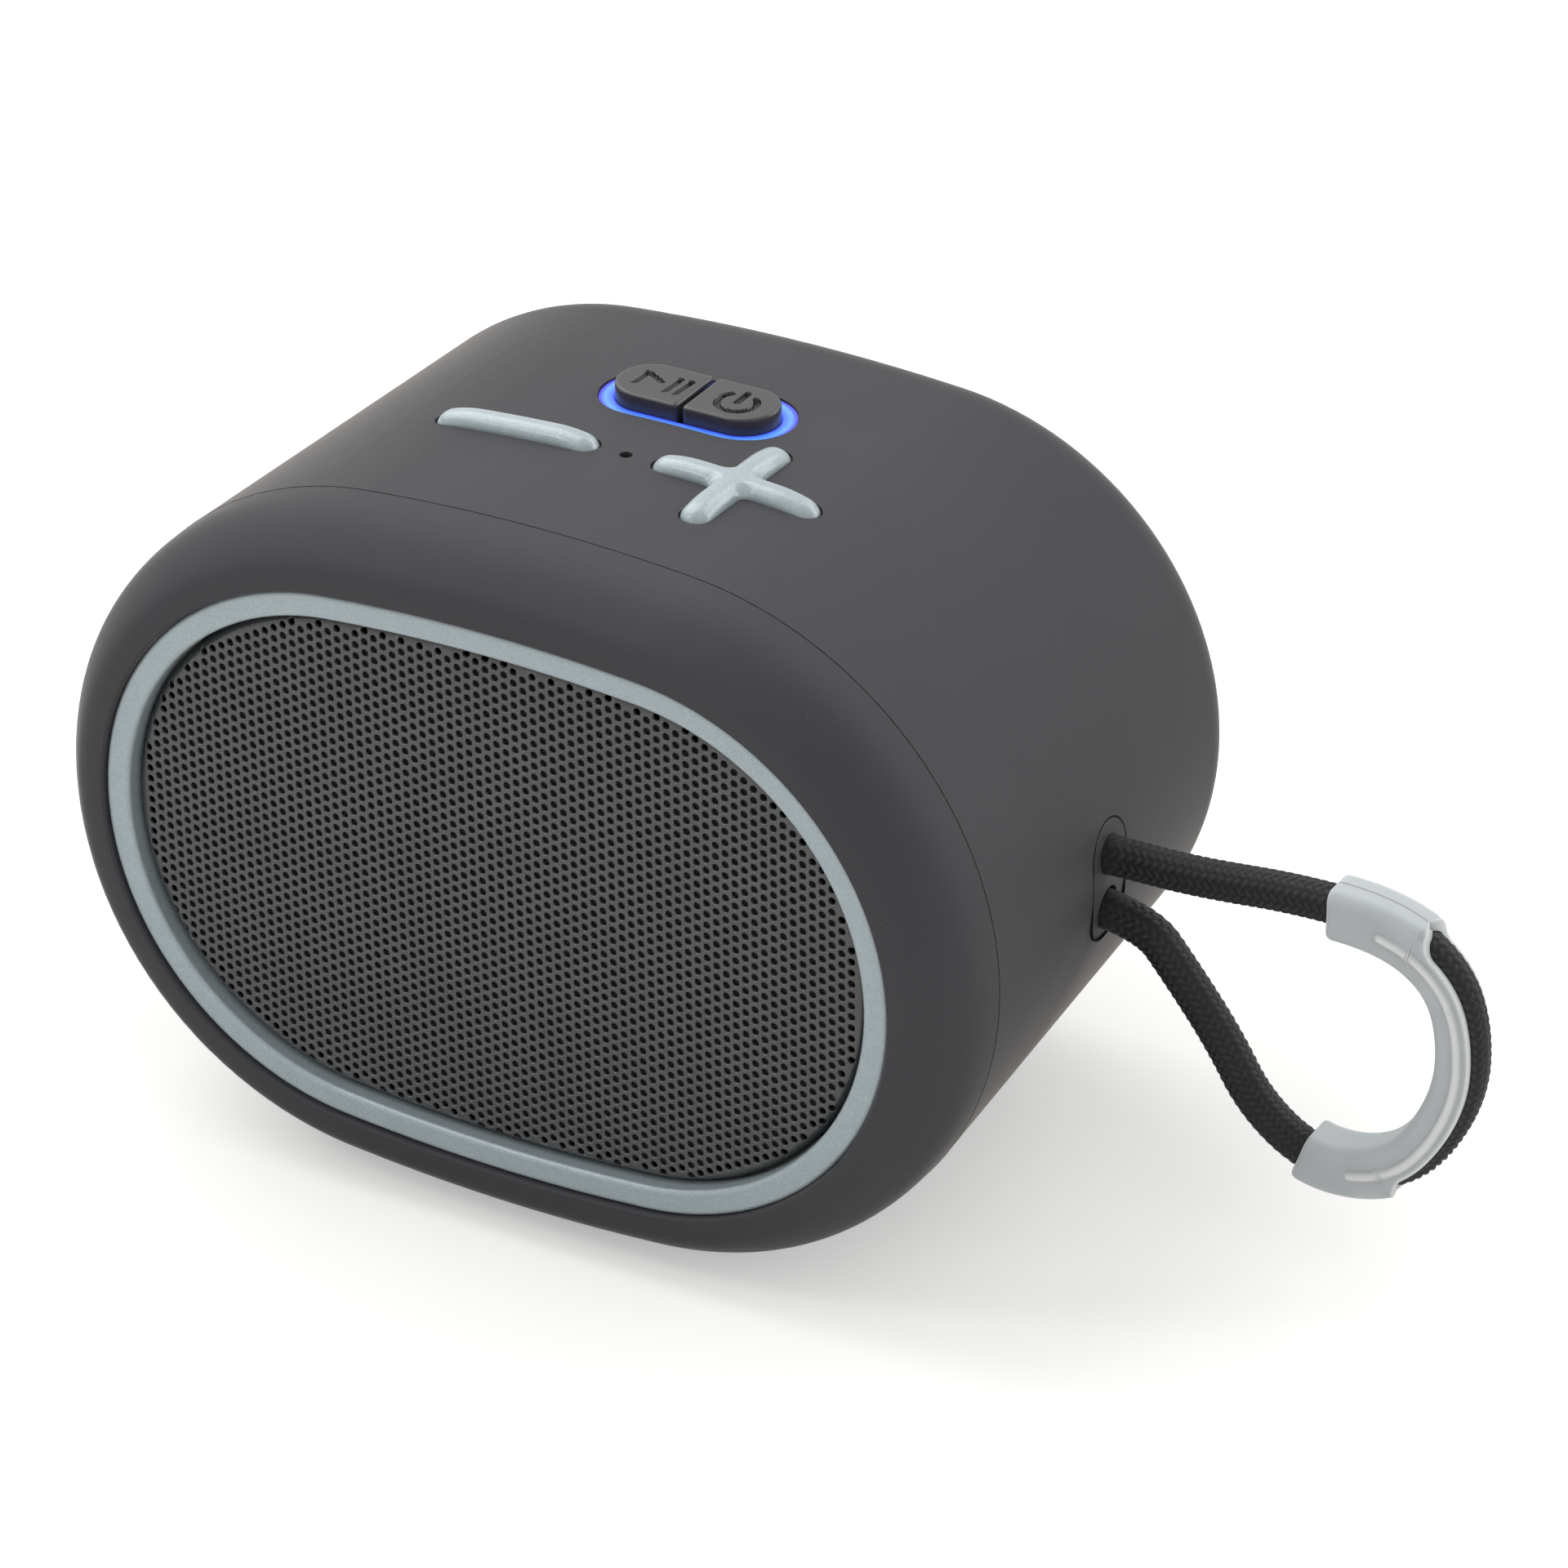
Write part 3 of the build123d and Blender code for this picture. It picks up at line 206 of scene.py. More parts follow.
spline = guide.splines.new("NURBS")
spline.points.add(len(strap["route"]) - 1)
for point, (x, z) in zip(spline.points, strap["route"]):
    point.co = (x * mm, strap["plane"] * mm, (z + housing["middle"]) * mm, 1)
spline.order_u = 3
spline.use_endpoint_u = True
guideObject = bpy.data.objects.new("strapGuide", guide)
scene.collection.objects.link(guideObject)
guideMesh = bpy.data.meshes.new_from_object(guideObject)
centreLine = [(v.co.x / mm, v.co.z / mm) for v in guideMesh.vertices]
bpy.data.objects.remove(guideObject)
bpy.data.curves.remove(guide)
bpy.data.meshes.remove(guideMesh)
travelled = [0.0]
for a, b in zip(centreLine, centreLine[1:]):
    travelled.append(travelled[-1] + hypot(b[0] - a[0], b[1] - a[1]))
cordLength = travelled[-1]
print("cord centre line", round(cordLength, 2), "mm")


def alongCord(distance):  # point and direction at a distance, the direction smoothed over 1 mm
    def at(d):
        d = min(max(d, 0), cordLength)
        lo, hi = 0, len(travelled) - 1
        while hi - lo > 1:
            half = (lo + hi) // 2
            lo, hi = (half, hi) if travelled[half] <= d else (lo, half)
        t = (d - travelled[lo]) / (travelled[hi] - travelled[lo])
        return [centreLine[lo][k] + t * (centreLine[hi][k] - centreLine[lo][k]) for k in (0, 1)]
    before, after = at(distance - 0.5), at(distance + 0.5)
    run = hypot(after[0] - before[0], after[1] - before[1])
    return at(distance), ((after[0] - before[0]) / run, (after[1] - before[1]) / run)


def cordPoint(distance, across, outward):  # a point beside the cord, across its plane and away from the loop's middle
    (x, z), (tx, tz) = alongCord(distance)
    return (x - tz * outward, strap["plane"] + across, z + tx * outward)


def strandHeight(a, b):  # two strands over, two under; 1 on a strand's crest and 0 in the gaps
    i, j = int(a // 1), int(b // 1)
    phase = (i + j) % 4
    if phase < 2:
        across, along = a - i - 0.5, (b - j + phase) / 2
    else:
        across, along = b - j - 0.5, (a - i + phase - 2) / 2
    section = sqrt(max(0.0, 1 - (2 * across) ** 2 * strap["squareness"]))
    return section * (strap["dive"] + (1 - strap["dive"]) * sin(pi * along) ** strap["swell"])


perStrand = 4  # points across a strand
around = strap["strands"] * perStrand
rows = int(cordLength / strap["plait"] * perStrand)
braidLoops, crest = [], []
for r in range(rows + 1):
    distance = cordLength * r / rows
    (x, z), (tx, tz) = alongCord(distance)
    fromEnd = min(distance, cordLength - distance)
    pressed = min(max((fromEnd - strap["flatEnd"]) / strap["flatRun"], strap["flatShare"]), 1)
    loop = []
    for k in range(around):
        v, u = k / perStrand, distance / strap["plait"]
        height = strandHeight(v + u, v - u)
        radius = strap["radius"] - strap["relief"] * pressed * (1 - height)
        angle = 2 * pi * k / around
        out, side = radius * cos(angle), radius * sin(angle)
        loop.append((x - tz * out, strap["plane"] + side, z + tx * out))
        crest.append(height)
    braidLoops.append(loop)
braidPoints, braidFaces = joinLoops(braidLoops)
braidFaces += [tuple(range(around))[::-1], tuple(rows * around + k for k in range(around))]


# braided polyester: dull black yarn whose fibres vary in gloss; painted shade darkens the gaps between the strands
braidYarn, tree, place = newSurface("braidedPolyester")
gapShadeMask = addNode(tree, "Attribute", {"attribute_name": "crest"}).outputs["Fac"]
fibre = addNode(tree, "TexNoise", {"Vector": place, "Scale": 1 / 0.00012, "Detail": 3.0})  # yarn fibres, drawn at 0.12 mm
patchy = addNode(tree, "TexNoise", {"Vector": place, "Scale": 1 / 0.0009, "Detail": 2.0})
# painted shade: the colour runs from near black in the gaps between strands to dark grey on the crests
yarnWithGapShade = addNode(tree, "ValToRGB", {"Fac": gapShadeMask, "stops": tones("#050506", "#242627", 0.2, 0.95)}).outputs["Color"]
worn = addNode(tree, "ValToRGB", {"Fac": patchy.outputs["Fac"], "stops": tones("#b4b4b4", "#ffffff")}).outputs["Color"]
yarnWithGapShade = addNode(tree, "Mix", {"data_type": "RGBA", "blend_type": "MULTIPLY", 0: 0.5, 6: yarnWithGapShade, 7: worn})
gloss = addNode(tree, "MapRange", {"Value": fibre.outputs["Fac"], "To Min": 0.32, "To Max": 0.8})
fuzz = addNode(tree, "Bump", {"Strength": 0.7, "Distance": 0.00006, "Height": fibre.outputs["Fac"]})
shader = addNode(tree, "BsdfPrincipled", {
    "Base Color": yarnWithGapShade.outputs[2], "Roughness": gloss.outputs["Result"], "Normal": fuzz.outputs[0],
    "Specular IOR Level": 0.32, "Sheen Weight": 0.03, "Sheen Roughness": 0.5})
addNode(tree, "OutputMaterial", {"Surface": shader.outputs[0]})

braid = addPiece("braidedCord", braidPoints, braidFaces, "housing", "cord_braid", braidYarn, ["strap_cord"], sharp=80)
crestMark = braid.data.attributes.new("crest", "FLOAT", "POINT")
crestMark.data.foreach_set("value", crest[:len(braid.data.vertices)])

grip = {
    "start": 32.4,  # along the cord
    "end": 83.0,
    "sleeve": 9.3,
    "halfWide": 2.55,
    "inner": 3.1,  # inside of the loop, from the cord's middle
    "outer": 2.7,
    "corner": 1.2,
    "lip": 0.9,
    "bore": 2.12,
    "mouthRound": 0.7,
    "mouthPull": 0.62,  # how much of the rounding the section draws in
    "step": 0.3,
    "windowEnd": 2.4,
    "ribMiddle": -0.35,
    "ribHalf": 0.52,
    "ribRise": 0.42,
    "ribStart": 6.0,  # from each mouth
    "lipPaintedLight": 0.6,  # painted light on the lips, from 0 to 1
    # painted light along the rib's crest
    "ribPaintedLight": 0.9,
}
gripLength = grip["end"] - grip["start"]
cornerRun = grip["corner"] * pi / 2
flatTop = grip["halfWide"] - grip["corner"]
sideRun = grip["outer"] + grip["inner"] - 2 * grip["corner"]
halfOutline = 2 * flatTop + 2 * cornerRun + sideRun
openRun = flatTop + cornerRun + grip["outer"] - grip["corner"] - grip["lip"]


def gripOutline(q):  # right half of the section: from the middle of its outer side to the middle of its inner side
    if q < flatTop:
        return q, grip["outer"]
    q -= flatTop
    if q < cornerRun:
        angle = q / grip["corner"]
        return flatTop + grip["corner"] * sin(angle), grip["outer"] - grip["corner"] * (1 - cos(angle))
    q -= cornerRun
    if q < sideRun:
        return grip["halfWide"], grip["outer"] - grip["corner"] - q
    q -= sideRun
    if q < cornerRun:
        angle = q / grip["corner"]
        return flatTop + grip["corner"] * cos(angle), -(grip["inner"] - grip["corner"]) - grip["corner"] * sin(angle)
    return max(0.0, flatTop - (q - cornerRun)), -grip["inner"]


halfCount = 56  # steps along half of the section
mouthStations = [0, 0.05, 0.15, 0.3, 0.5, 0.7]
inside = grip["mouthRound"]
straight = gripLength - 2 * inside
stationCount = int(straight / grip["step"])
gripStations = mouthStations + [inside + straight * k / stationCount for k in range(1, stationCount)]
gripStations += [gripLength - d for d in mouthStations[::-1]]
gripLoops, paintedLightAt = [], {}
for s in gripStations:
    fromMouth = min(s, gripLength - s)
    past = fromMouth - grip["sleeve"]
    opened = 0.0 if past <= 0 else sqrt(1 - (1 - min(past / grip["windowEnd"], 1)) ** 2)
    first = openRun * opened
    rounding = 0.0
    if fromMouth < grip["mouthRound"]:
        rounding = inside * (1 - sqrt(1 - (1 - fromMouth / inside) ** 2)) * grip["mouthPull"]
    distance = grip["start"] + s
    half, bore = [], []
    lipHeight = gripOutline(first)[1]
    boreStart = acos(min(1.0, lipHeight / grip["bore"])) if opened > 0 else 0.0
    for k in range(halfCount + 1):
        across, outward = gripOutline(first + (halfOutline - first) * k / halfCount)
        beyond = max(0.0, grip["ribStart"] - fromMouth)
        reach = hypot(beyond, outward - grip["ribMiddle"]) / grip["ribHalf"]
        # painted light on the lips and along the rib
        onLip = fromMouth < 0.2 or (opened > 0 and k < 3)
        paintedLightShare = grip["lipPaintedLight"] if onLip else 0.0
        if reach < 1 and across > flatTop:
            across += grip["ribRise"] * (1 - reach**2) ** 0.6
            paintedLightShare = grip["ribPaintedLight"] * (1 - reach**2)
        size = hypot(across, outward)
        across, outward = across * (1 - rounding / size), outward * (1 - rounding / size)
        half.append((across, outward))
        for turned in (across, -across):
            paintedLightAt[tuple(round(c, 3) for c in cordPoint(distance, turned, outward))] = paintedLightShare
        angle = boreStart + (pi - boreStart) * k / halfCount
        bore.append((grip["bore"] * sin(angle), grip["bore"] * cos(angle)))
    ring = half + [(-a, o) for a, o in half[::-1][1:]]
    ring += [(-a, o) for a, o in bore] + [(a, o) for a, o in bore[::-1][1:]]
    gripLoops.append([cordPoint(distance, a, o) for a, o in ring])
gripPoints, gripFaces = joinLoops(gripLoops)
perLoop = len(gripLoops[0])
outerCount = 2 * halfCount + 1
for base in (0, (len(gripLoops) - 1) * perLoop):  # mouths
    for k in range(outerCount - 1):
        gripFaces.append((base + k, base + k + 1, base + perLoop - 2 - k, base + perLoop - 1 - k))

# moulded silicone: milky and slightly see-through; painted light makes the lips and the rib lighter than the walls
silicone, tree, place = newSurface("mouldedSilicone")
clouds = addNode(tree, "TexNoise", {"Vector": place, "Scale": 1 / 0.004, "Detail": 3.0})
skin = addNode(tree, "TexNoise", {"Vector": place, "Scale": 1 / 0.00025, "Detail": 2.0})  # mould's fine blast finish
siliconeColour = addNode(tree, "ValToRGB", {"Fac": clouds.outputs["Fac"], "stops": tones("#b3b8ba", "#b9bdbf")}).outputs["Color"]
paintedLightMask = addNode(tree, "Attribute", {"attribute_name": "paintedLightMask"}).outputs["Fac"]
# painted light: the lips and the rib are mixed towards near white
siliconeColour = addNode(tree, "Mix", {"data_type": "RGBA", 0: paintedLightMask, 6: siliconeColour, 7: toLinear("#dcdddb")}).outputs[2]
blast = addNode(tree, "Bump", {"Strength": 0.25, "Distance": 0.00002, "Height": skin.outputs["Fac"]})
dull = addNode(tree, "MapRange", {"Value": skin.outputs["Fac"], "To Min": 0.42, "To Max": 0.6})
shader = addNode(tree, "BsdfPrincipled", {
    "Base Color": siliconeColour, "Roughness": dull.outputs["Result"], "Normal": blast.outputs[0], "Subsurface Weight": 0.55,
    "Subsurface Radius": (1.0, 1.05, 1.1), "Subsurface Scale": 0.0012, "Specular IOR Level": 0.4, "IOR": 1.41})
addNode(tree, "OutputMaterial", {"Surface": shader.outputs[0]})

gripPiece = addPiece("siliconeGrip", gripPoints, gripFaces, "housing", "grip_rubber", silicone, ["strap_grip"], sharp=50)
paintedLightValues = [paintedLightAt.get(tuple(round(c / mm, 3) for c in v.co), 0.0) for v in gripPiece.data.vertices]
gripPiece.data.attributes.new("paintedLightMask", "FLOAT", "POINT").data.foreach_set("value", paintedLightValues)
pathSteps = 400
cordPath = [cordPoint(cordLength * k / pathSteps, 0, 0) for k in range(pathSteps + 1)]
print("strap made:", len(braid.data.polygons), "and", len(gripPiece.data.polygons), "faces")

# Grille: punched steel sheet, its edge bent back
punching = {
    "pitch": 1.25,  # triangular, nearest rows upright
    "hole": 0.43,  # radius
    "sides": 10,
    "edge": 0.065,  # rounding of each hole's rim
    "sheet": 0.5,
    "bend": 1.2,
    "ontoBend": 0.45,  # holes reach this far over the bend
    "clear": 0.12,  # between a hole and the points that shape the bend
    "bendRows": (0.0, 0.3, 0.6, 0.9, 1.2, 1.5, 1.75),
    "bendStep": 0.6,
    "bendShadeStart": 0.3,  # share of the bend where the painted shade starts
}
flatInset = housing["grilleInset"] + punching["bend"]


def sheetPoint(x, z, depth):  # bends the flat blank: depth is measured into the sheet
    gap = flatInset - ovalInset(x, z)
    if gap <= 0:
        return (x, housing["grilleFace"] + depth, z + housing["middle"])
    (ex, _), endR, _, _ = ovalArcs(0)[0]
    (_, cz), crownR, _, _ = ovalArcs(0)[1]
    sideways = abs(x) * (crownR - endR) > ex * crownR
    centre = (ex if x > 0 else -ex, 0) if sideways else (0, cz if z > 0 else -cz)
    angle = min(gap / punching["bend"], pi / 2)
    radius = punching["bend"] - depth
    inset = flatInset - radius * sin(angle)
    away = hypot(x - centre[0], z - centre[1])
    reach = (endR if sideways else crownR) - inset
    share = reach / away
    back = housing["grilleFace"] + punching["bend"] - radius * cos(angle)
    return (centre[0] + (x - centre[0]) * share, back, centre[1] + (z - centre[1]) * share + housing["middle"])


blankInset = flatInset - punching["bend"] * pi / 2
rim = ovalLoop(blankInset)
blank = [Vector(p) for p in rim]
edges = [(i, (i + 1) % len(rim)) for i in range(len(rim))]
columnPitch = punching["pitch"] * sqrt(3) / 2
columns = int(housing["halfWidth"] / columnPitch)
uprights = int(housing["halfHeight"] / punching["pitch"])
holes, sides = [], punching["sides"]
for i in range(-columns, columns + 1):
    for j in range(-uprights, uprights + 1):
        x, z = i * columnPitch, (j + (i % 2) / 2) * punching["pitch"]
        if ovalInset(x, z) > flatInset - punching["ontoBend"]:
            holes.append((x, z))


def holeRing(x, z, radius):
    turns = [2 * pi * k / sides for k in range(sides)]
    return [(x + radius * cos(t), z + radius * sin(t)) for t in turns]


for x, z in holes:
    first = len(blank)
    blank += [Vector(p) for p in holeRing(x, z, punching["hole"] + punching["edge"])]
    edges += [(first + k, first + (k + 1) % sides) for k in range(sides)]
lattice = {}
for x, z in holes:
    lattice.setdefault((round(x), round(z)), []).append((x, z))
beside = [(a, b) for a in (-1, 0, 1) for b in (-1, 0, 1)]
for over in punching["bendRows"]:  # rows of points that let the bend turn smoothly
    for x, z in ovalLoop(flatInset - over, punching["bendStep"]):
        near = [h for a, b in beside for h in lattice.get((round(x) + a, round(z) + b), [])]
        if all(hypot(x - hx, z - hz) > punching["hole"] + punching["clear"] for hx, hz in near):
            blank.append(Vector((x, z)))
flat, _, webFaces, origins, _, _ = delaunay_2d_cdt(blank, edges, [], 1, 1e-5)
placed = {source: k for k, sources in enumerate(origins) for source in sources}
holeOf = {placed[len(rim) + k]: k // sides for k in range(sides * len(holes))}
sheetPoints = [sheetPoint(p.x, p.y, 0.0) for p in flat]
sheetFaces = []
for f in webFaces:  # all but those that would close a hole
    if len({holeOf.get(k, -1) for k in f}) > 1 or holeOf.get(f[0], -1) < 0:
        sheetFaces.append(tuple(f))
for h, (x, z) in enumerate(holes):
    mouth = [placed[len(rim) + h * sides + k] for k in range(sides)]
    for depth in (punching["edge"], punching["sheet"]):
        first = len(sheetPoints)
        sheetPoints += [sheetPoint(px, pz, depth) for px, pz in holeRing(x, z, punching["hole"])]
        sheetFaces += wallBetween(mouth, first)
        mouth = [first + k for k in range(sides)]
skirt = [placed[k] for k in range(len(rim))]
first = len(sheetPoints)
sheetPoints += [(sheetPoints[k][0], housing["baffleFace"], sheetPoints[k][2]) for k in skirt]
sheetFaces += wallBetween(skirt, first)

# steel, punched and powder coated: dark satin skin with a slight orange peel; painted highlights on the punched rims,
# painted shade in the holes and over the bend
coatedSteel, tree, place = newSurface("powderCoatedSteel")
peel = addNode(tree, "TexNoise", {"Vector": place, "Scale": 1 / 0.0003, "Detail": 2.0})
tone = addNode(tree, "TexNoise", {"Vector": place, "Scale": 1 / 0.006, "Detail": 3.0})
coat = addNode(tree, "ValToRGB", {"Fac": tone.outputs["Fac"], "stops": tones("#363637", "#3e3e3f")}).outputs["Color"]
grain = addNode(tree, "Bump", {"Strength": 0.3, "Distance": 0.00002, "Height": peel.outputs["Fac"]})
bendShade = addNode(tree, "Attribute", {"attribute_name": "bend"}).outputs["Fac"]
holeShade = addNode(tree, "Attribute", {"attribute_name": "wall"}).outputs["Fac"]
paintedShade = addNode(tree, "Math", {"operation": "MAXIMUM", 0: bendShade, 1: holeShade})  # painted shade down the hole walls and over the bend, which are also made glossier
coat = addNode(tree, "Mix", {"data_type": "RGBA", 0: paintedShade.outputs[0], 6: coat, 7: toLinear("#0c0c0d")}).outputs[2]
rimHighlight = addNode(tree, "Attribute", {"attribute_name": "rim"}).outputs["Fac"]
# painted highlight: the rounded hole rims are mixed towards light grey
coat = addNode(tree, "Mix", {"data_type": "RGBA", 0: rimHighlight, 6: coat, 7: toLinear("#646467")}).outputs[2]
satin = addNode(tree, "MapRange", {"Value": peel.outputs["Fac"], "To Min": 0.3, "To Max": 0.46})
glossy = addNode(tree, "Math", {"operation": "MAXIMUM", 0: paintedShade.outputs[0], 1: rimHighlight})
satin = addNode(tree, "Math", {"operation": "MULTIPLY_ADD", 0: glossy.outputs[0], 1: -0.22, 2: satin.outputs["Result"]})
shader = addNode(tree, "BsdfPrincipled", {
    "Base Color": coat, "Roughness": satin.outputs[0], "Normal": grain.outputs[0], "Specular IOR Level": 0.6,
    "Coat Weight": 0.15, "Coat Roughness": 0.25})
addNode(tree, "OutputMaterial", {"Surface": shader.outputs[0]})
grille = addPiece("punchedGrille", sheetPoints, sheetFaces, "housing", "grille_steel", coatedSteel, ["grille"], sharp=30)
bendShades, holeShades, rimHighlights = [], [], []
for v in grille.data.vertices:
    over = (flatInset - ovalInset(v.co.x / mm, v.co.z / mm - housing["middle"])) / punching["bend"]
    sunk = v.co.y / mm - housing["grilleFace"]
    level = over < punching["bendShadeStart"]
    bendShades.append(min(max((over - punching["bendShadeStart"]) / punching["bendShadeStart"], 0), 1))
    holeShades.append(1.0 if level and sunk > punching["sheet"] / 2 else 0.0)
    rimHighlights.append(1.0 if level and abs(sunk - punching["edge"]) < 0.02 else 0.0)
for name, values in (("bend", bendShades), ("wall", holeShades), ("rim", rimHighlights)):
    grille.data.attributes.new(name, "FLOAT", "POINT").data.foreach_set("value", values)
print("grille made:", len(holes), "holes,", len(grille.data.polygons), "faces")


# Keys
def slotGap(x, y, halfLong, halfWide):  # signed distance to a round-ended bar
    return hypot(max(abs(x) - (halfLong - halfWide), 0), y) - halfWide


def softMin(a, b, blend):
    mix = max(blend - abs(a - b), 0) / blend
    return min(a, b) - mix * mix * blend / 4


def edgeDrop(gap, edge):  # how far a rounded edge lies under its face
    inwards = max(-gap, 0.0)
    return edge - sqrt(max(edge * edge - max(edge - inwards, 0) ** 2, 0))


def reliefKey(gap, bounds, spacing, loopDepths, height, floor):  # a key whose top is a height over its outline
    x0, y0, x1, y1 = bounds
    outlineStep, probe, rays = 0.12, 0.01, 1600

    def slope(x, y):
        gx = gap(x + probe, y) - gap(x - probe, y)
        gy = gap(x, y + probe) - gap(x, y - probe)
        size = hypot(gx, gy) or 1
        return gx / size, gy / size

    seeds, cx, cy = [], (x0 + x1) / 2, (y0 + y1) / 2
    for k in range(rays):  # outline, found along rays from the middle
        dx, dy = cos(2 * pi * k / rays), sin(2 * pi * k / rays)
        near, far = 0.0, hypot(x1 - x0, y1 - y0)
        for _ in range(24):
            half = (near + far) / 2
            near, far = (half, far) if gap(cx + dx * half, cy + dy * half) < 0 else (near, half)
        point = (cx + dx * near, cy + dy * near)
        if not seeds or hypot(point[0] - seeds[-1][0], point[1] - seeds[-1][1]) > outlineStep:
            seeds.append(point)
    if hypot(seeds[-1][0] - seeds[0][0], seeds[-1][1] - seeds[0][1]) < outlineStep / 2:
        seeds.pop()
    points = [Vector(p) for p in seeds]
    border = [(i, (i + 1) % len(seeds)) for i in range(len(seeds))]
    for depth in loopDepths:
        for x, y in seeds:
            gx, gy = slope(x, y)
            px, py = x - gx * depth, y - gy * depth
            if abs(gap(px, py) + depth) < 0.03:  # not where two slopes meet
                points.append(Vector((px, py)))
    inner = loopDepths[-1] + spacing * 0.5
    for i in range(int((x1 - x0) / spacing) + 1):
        for j in range(int((y1 - y0) / spacing) + 1):
            x, y = x0 + (i + (j % 2) / 2) * spacing, y0 + j * spacing
            if gap(x, y) < -inner:
                points.append(Vector((x, y)))
    flatPoints, _, faces, origins, _, _ = delaunay_2d_cdt(points, border, [], 1, 1e-5)
    placed = {source: k for k, sources in enumerate(origins) for source in sources}
    top = [(p.x, p.y, height(p.x, p.y)) for p in flatPoints]
    faces = [tuple(f) for f in faces]
    outline = [placed[k] for k in range(len(seeds))]
    first = len(top)
    top += [(top[k][0], top[k][1], floor) for k in outline]
    faces += wallBetween(outline, first)
    faces.append(tuple(range(first, len(top))))
    return top, faces


stem = {
    "flange": 0.8,  # thickness
    "overlap": 0.4,  # the key's walls reach this far into the flange
    "length": 1.5,
    "radius": 1.5,
    "sides": 24,
}


def addStem(points, faces, x, y, width, length, flangeTop):  # hidden flange and stem
    first, n = len(points), stem["sides"]
    x0, x1, y0, y1 = x - length / 2, x + length / 2, y - width / 2, y + width / 2
    for z in (flangeTop, flangeTop - stem["flange"]):
        points += [(x0, y0, z), (x1, y0, z), (x1, y1, z), (x0, y1, z)]
    faces += [tuple(range(first, first + 4)), tuple(range(first + 4, first + 8))]
    faces += wallBetween(range(first, first + 4), first + 4)
    first = len(points)
    turns = [2 * pi * k / n for k in range(n)]
    for z in (flangeTop - stem["flange"] / 2, flangeTop - stem["flange"] - stem["length"]):
        points += [(x + stem["radius"] * cos(t), y + stem["radius"] * sin(t), z) for t in turns]
    faces += wallBetween(range(first, first + n), first + n)
    faces += [tuple(range(first, first + n)), tuple(range(first + n, first + 2 * n))]
    return points, faces


volumeKey = {
    "rowY": -4.3,
    "offset": 12.75,
    "halfLong": 9.5,
    "halfWide": 1.65,
    "rise": 1.42,  # crown over the housing
    "shoulder": 6.7,  # beyond this the crown falls to the tips
    "slope": 0.28,
    "edge": 1.45,  # rounding of the long edges
    "crotch": 1.5,  # fillet where the plus's bars meet
    "flangeTop": 73.3,
    "flangeLong": 11.0,
    "blend": 0.6,  # softness of the shoulder
    "spacing": 0.16,  # of the points on top
}


def crownHeight(x, y, gap, centreX):
    reach = max(abs(x - centreX), abs(y - volumeKey["rowY"]))
    fall = volumeKey["rise"] - volumeKey["slope"] * (reach - volumeKey["shoulder"])
    crest = softMin(volumeKey["rise"], fall, volumeKey["blend"])
    return topOfHousing(x, y) + crest - edgeDrop(gap, volumeKey["edge"])


def minusGap(x, y):
    return slotGap(x + volumeKey["offset"], y - volumeKey["rowY"], volumeKey["halfLong"], volumeKey["halfWide"])


def plusGap(x, y):
    u, v = x - volumeKey["offset"], y - volumeKey["rowY"]
    long, wide = volumeKey["halfLong"], volumeKey["halfWide"]
    return softMin(slotGap(u, v, long, wide), slotGap(v, u, long, wide), volumeKey["crotch"])


# pearl paint over moulded ABS: pale blue grey, satin, with mica flakes that sparkle
pearl, tree, place = newSurface("pearlPaintedAbs")
flakes = addNode(tree, "TexVoronoi", {"Vector": place, "Scale": 1 / 0.00016})  # mica flakes, drawn at 0.16 mm
mottle = addNode(tree, "TexNoise", {"Vector": place, "Scale": 1 / 0.003, "Detail": 3.0})
paint = addNode(tree, "ValToRGB", {"Fac": mottle.outputs["Fac"], "stops": tones("#a4afb3", "#a7b2b6")}).outputs["Color"]
sparkle = addNode(tree, "SeparateColor", {"Color": flakes.outputs["Color"]})
bright = [(0.0, toLinear("#e2e6e8")), (0.85, toLinear("#f4f6f6")), (0.97, toLinear("#ffffff"))]
glint = addNode(tree, "ValToRGB", {"Fac": sparkle.outputs[0], "stops": bright}).outputs["Color"]
paint = addNode(tree, "Mix", {"data_type": "RGBA", "blend_type": "MULTIPLY", 0: 0.8, 6: paint, 7: glint})
tilt = addNode(tree, "Bump", {"Strength": 0.35, "Distance": 0.000012, "Height": sparkle.outputs[1]})
satin = addNode(tree, "MapRange", {"Value": sparkle.outputs[2], "To Min": 0.3, "To Max": 0.5})
shader = addNode(tree, "BsdfPrincipled", {
    "Base Color": paint.outputs[2], "Roughness": satin.outputs["Result"], "Normal": tilt.outputs[0], "Metallic": 0.15,
    "Specular IOR Level": 0.5, "Coat Weight": 0.45, "Coat Roughness": 0.18})
addNode(tree, "OutputMaterial", {"Surface": shader.outputs[0]})

loopDepths = [0.015, 0.05, 0.1, 0.17, 0.26, 0.38, 0.52, 0.7]
volumeKeys = (  # the last number is the flange's width
    ("minusKey", minusGap, -volumeKey["offset"], "minus_key", volumeKey["halfWide"], 5.4),
    ("plusKey", plusGap, volumeKey["offset"], "plus_key", volumeKey["halfLong"], 11.0),
)
for name, gap, centreX, node, halfY, wide in volumeKeys:
    halfX, rowY = volumeKey["halfLong"], volumeKey["rowY"]
    bounds = (centreX - halfX, rowY - halfY, centreX + halfX, rowY + halfY)
    points, faces = reliefKey(gap, bounds, volumeKey["spacing"], loopDepths,
                              lambda x, y: crownHeight(x, y, gap(x, y), centreX), volumeKey["flangeTop"] - stem["overlap"])
    points, faces = addStem(points, faces, centreX, rowY, wide, volumeKey["flangeLong"], volumeKey["flangeTop"])
    addPiece(name, points, faces, node.replace("_key", "_button"), "key_paint", pearl, [node], sharp=50)
print("volume keys made")

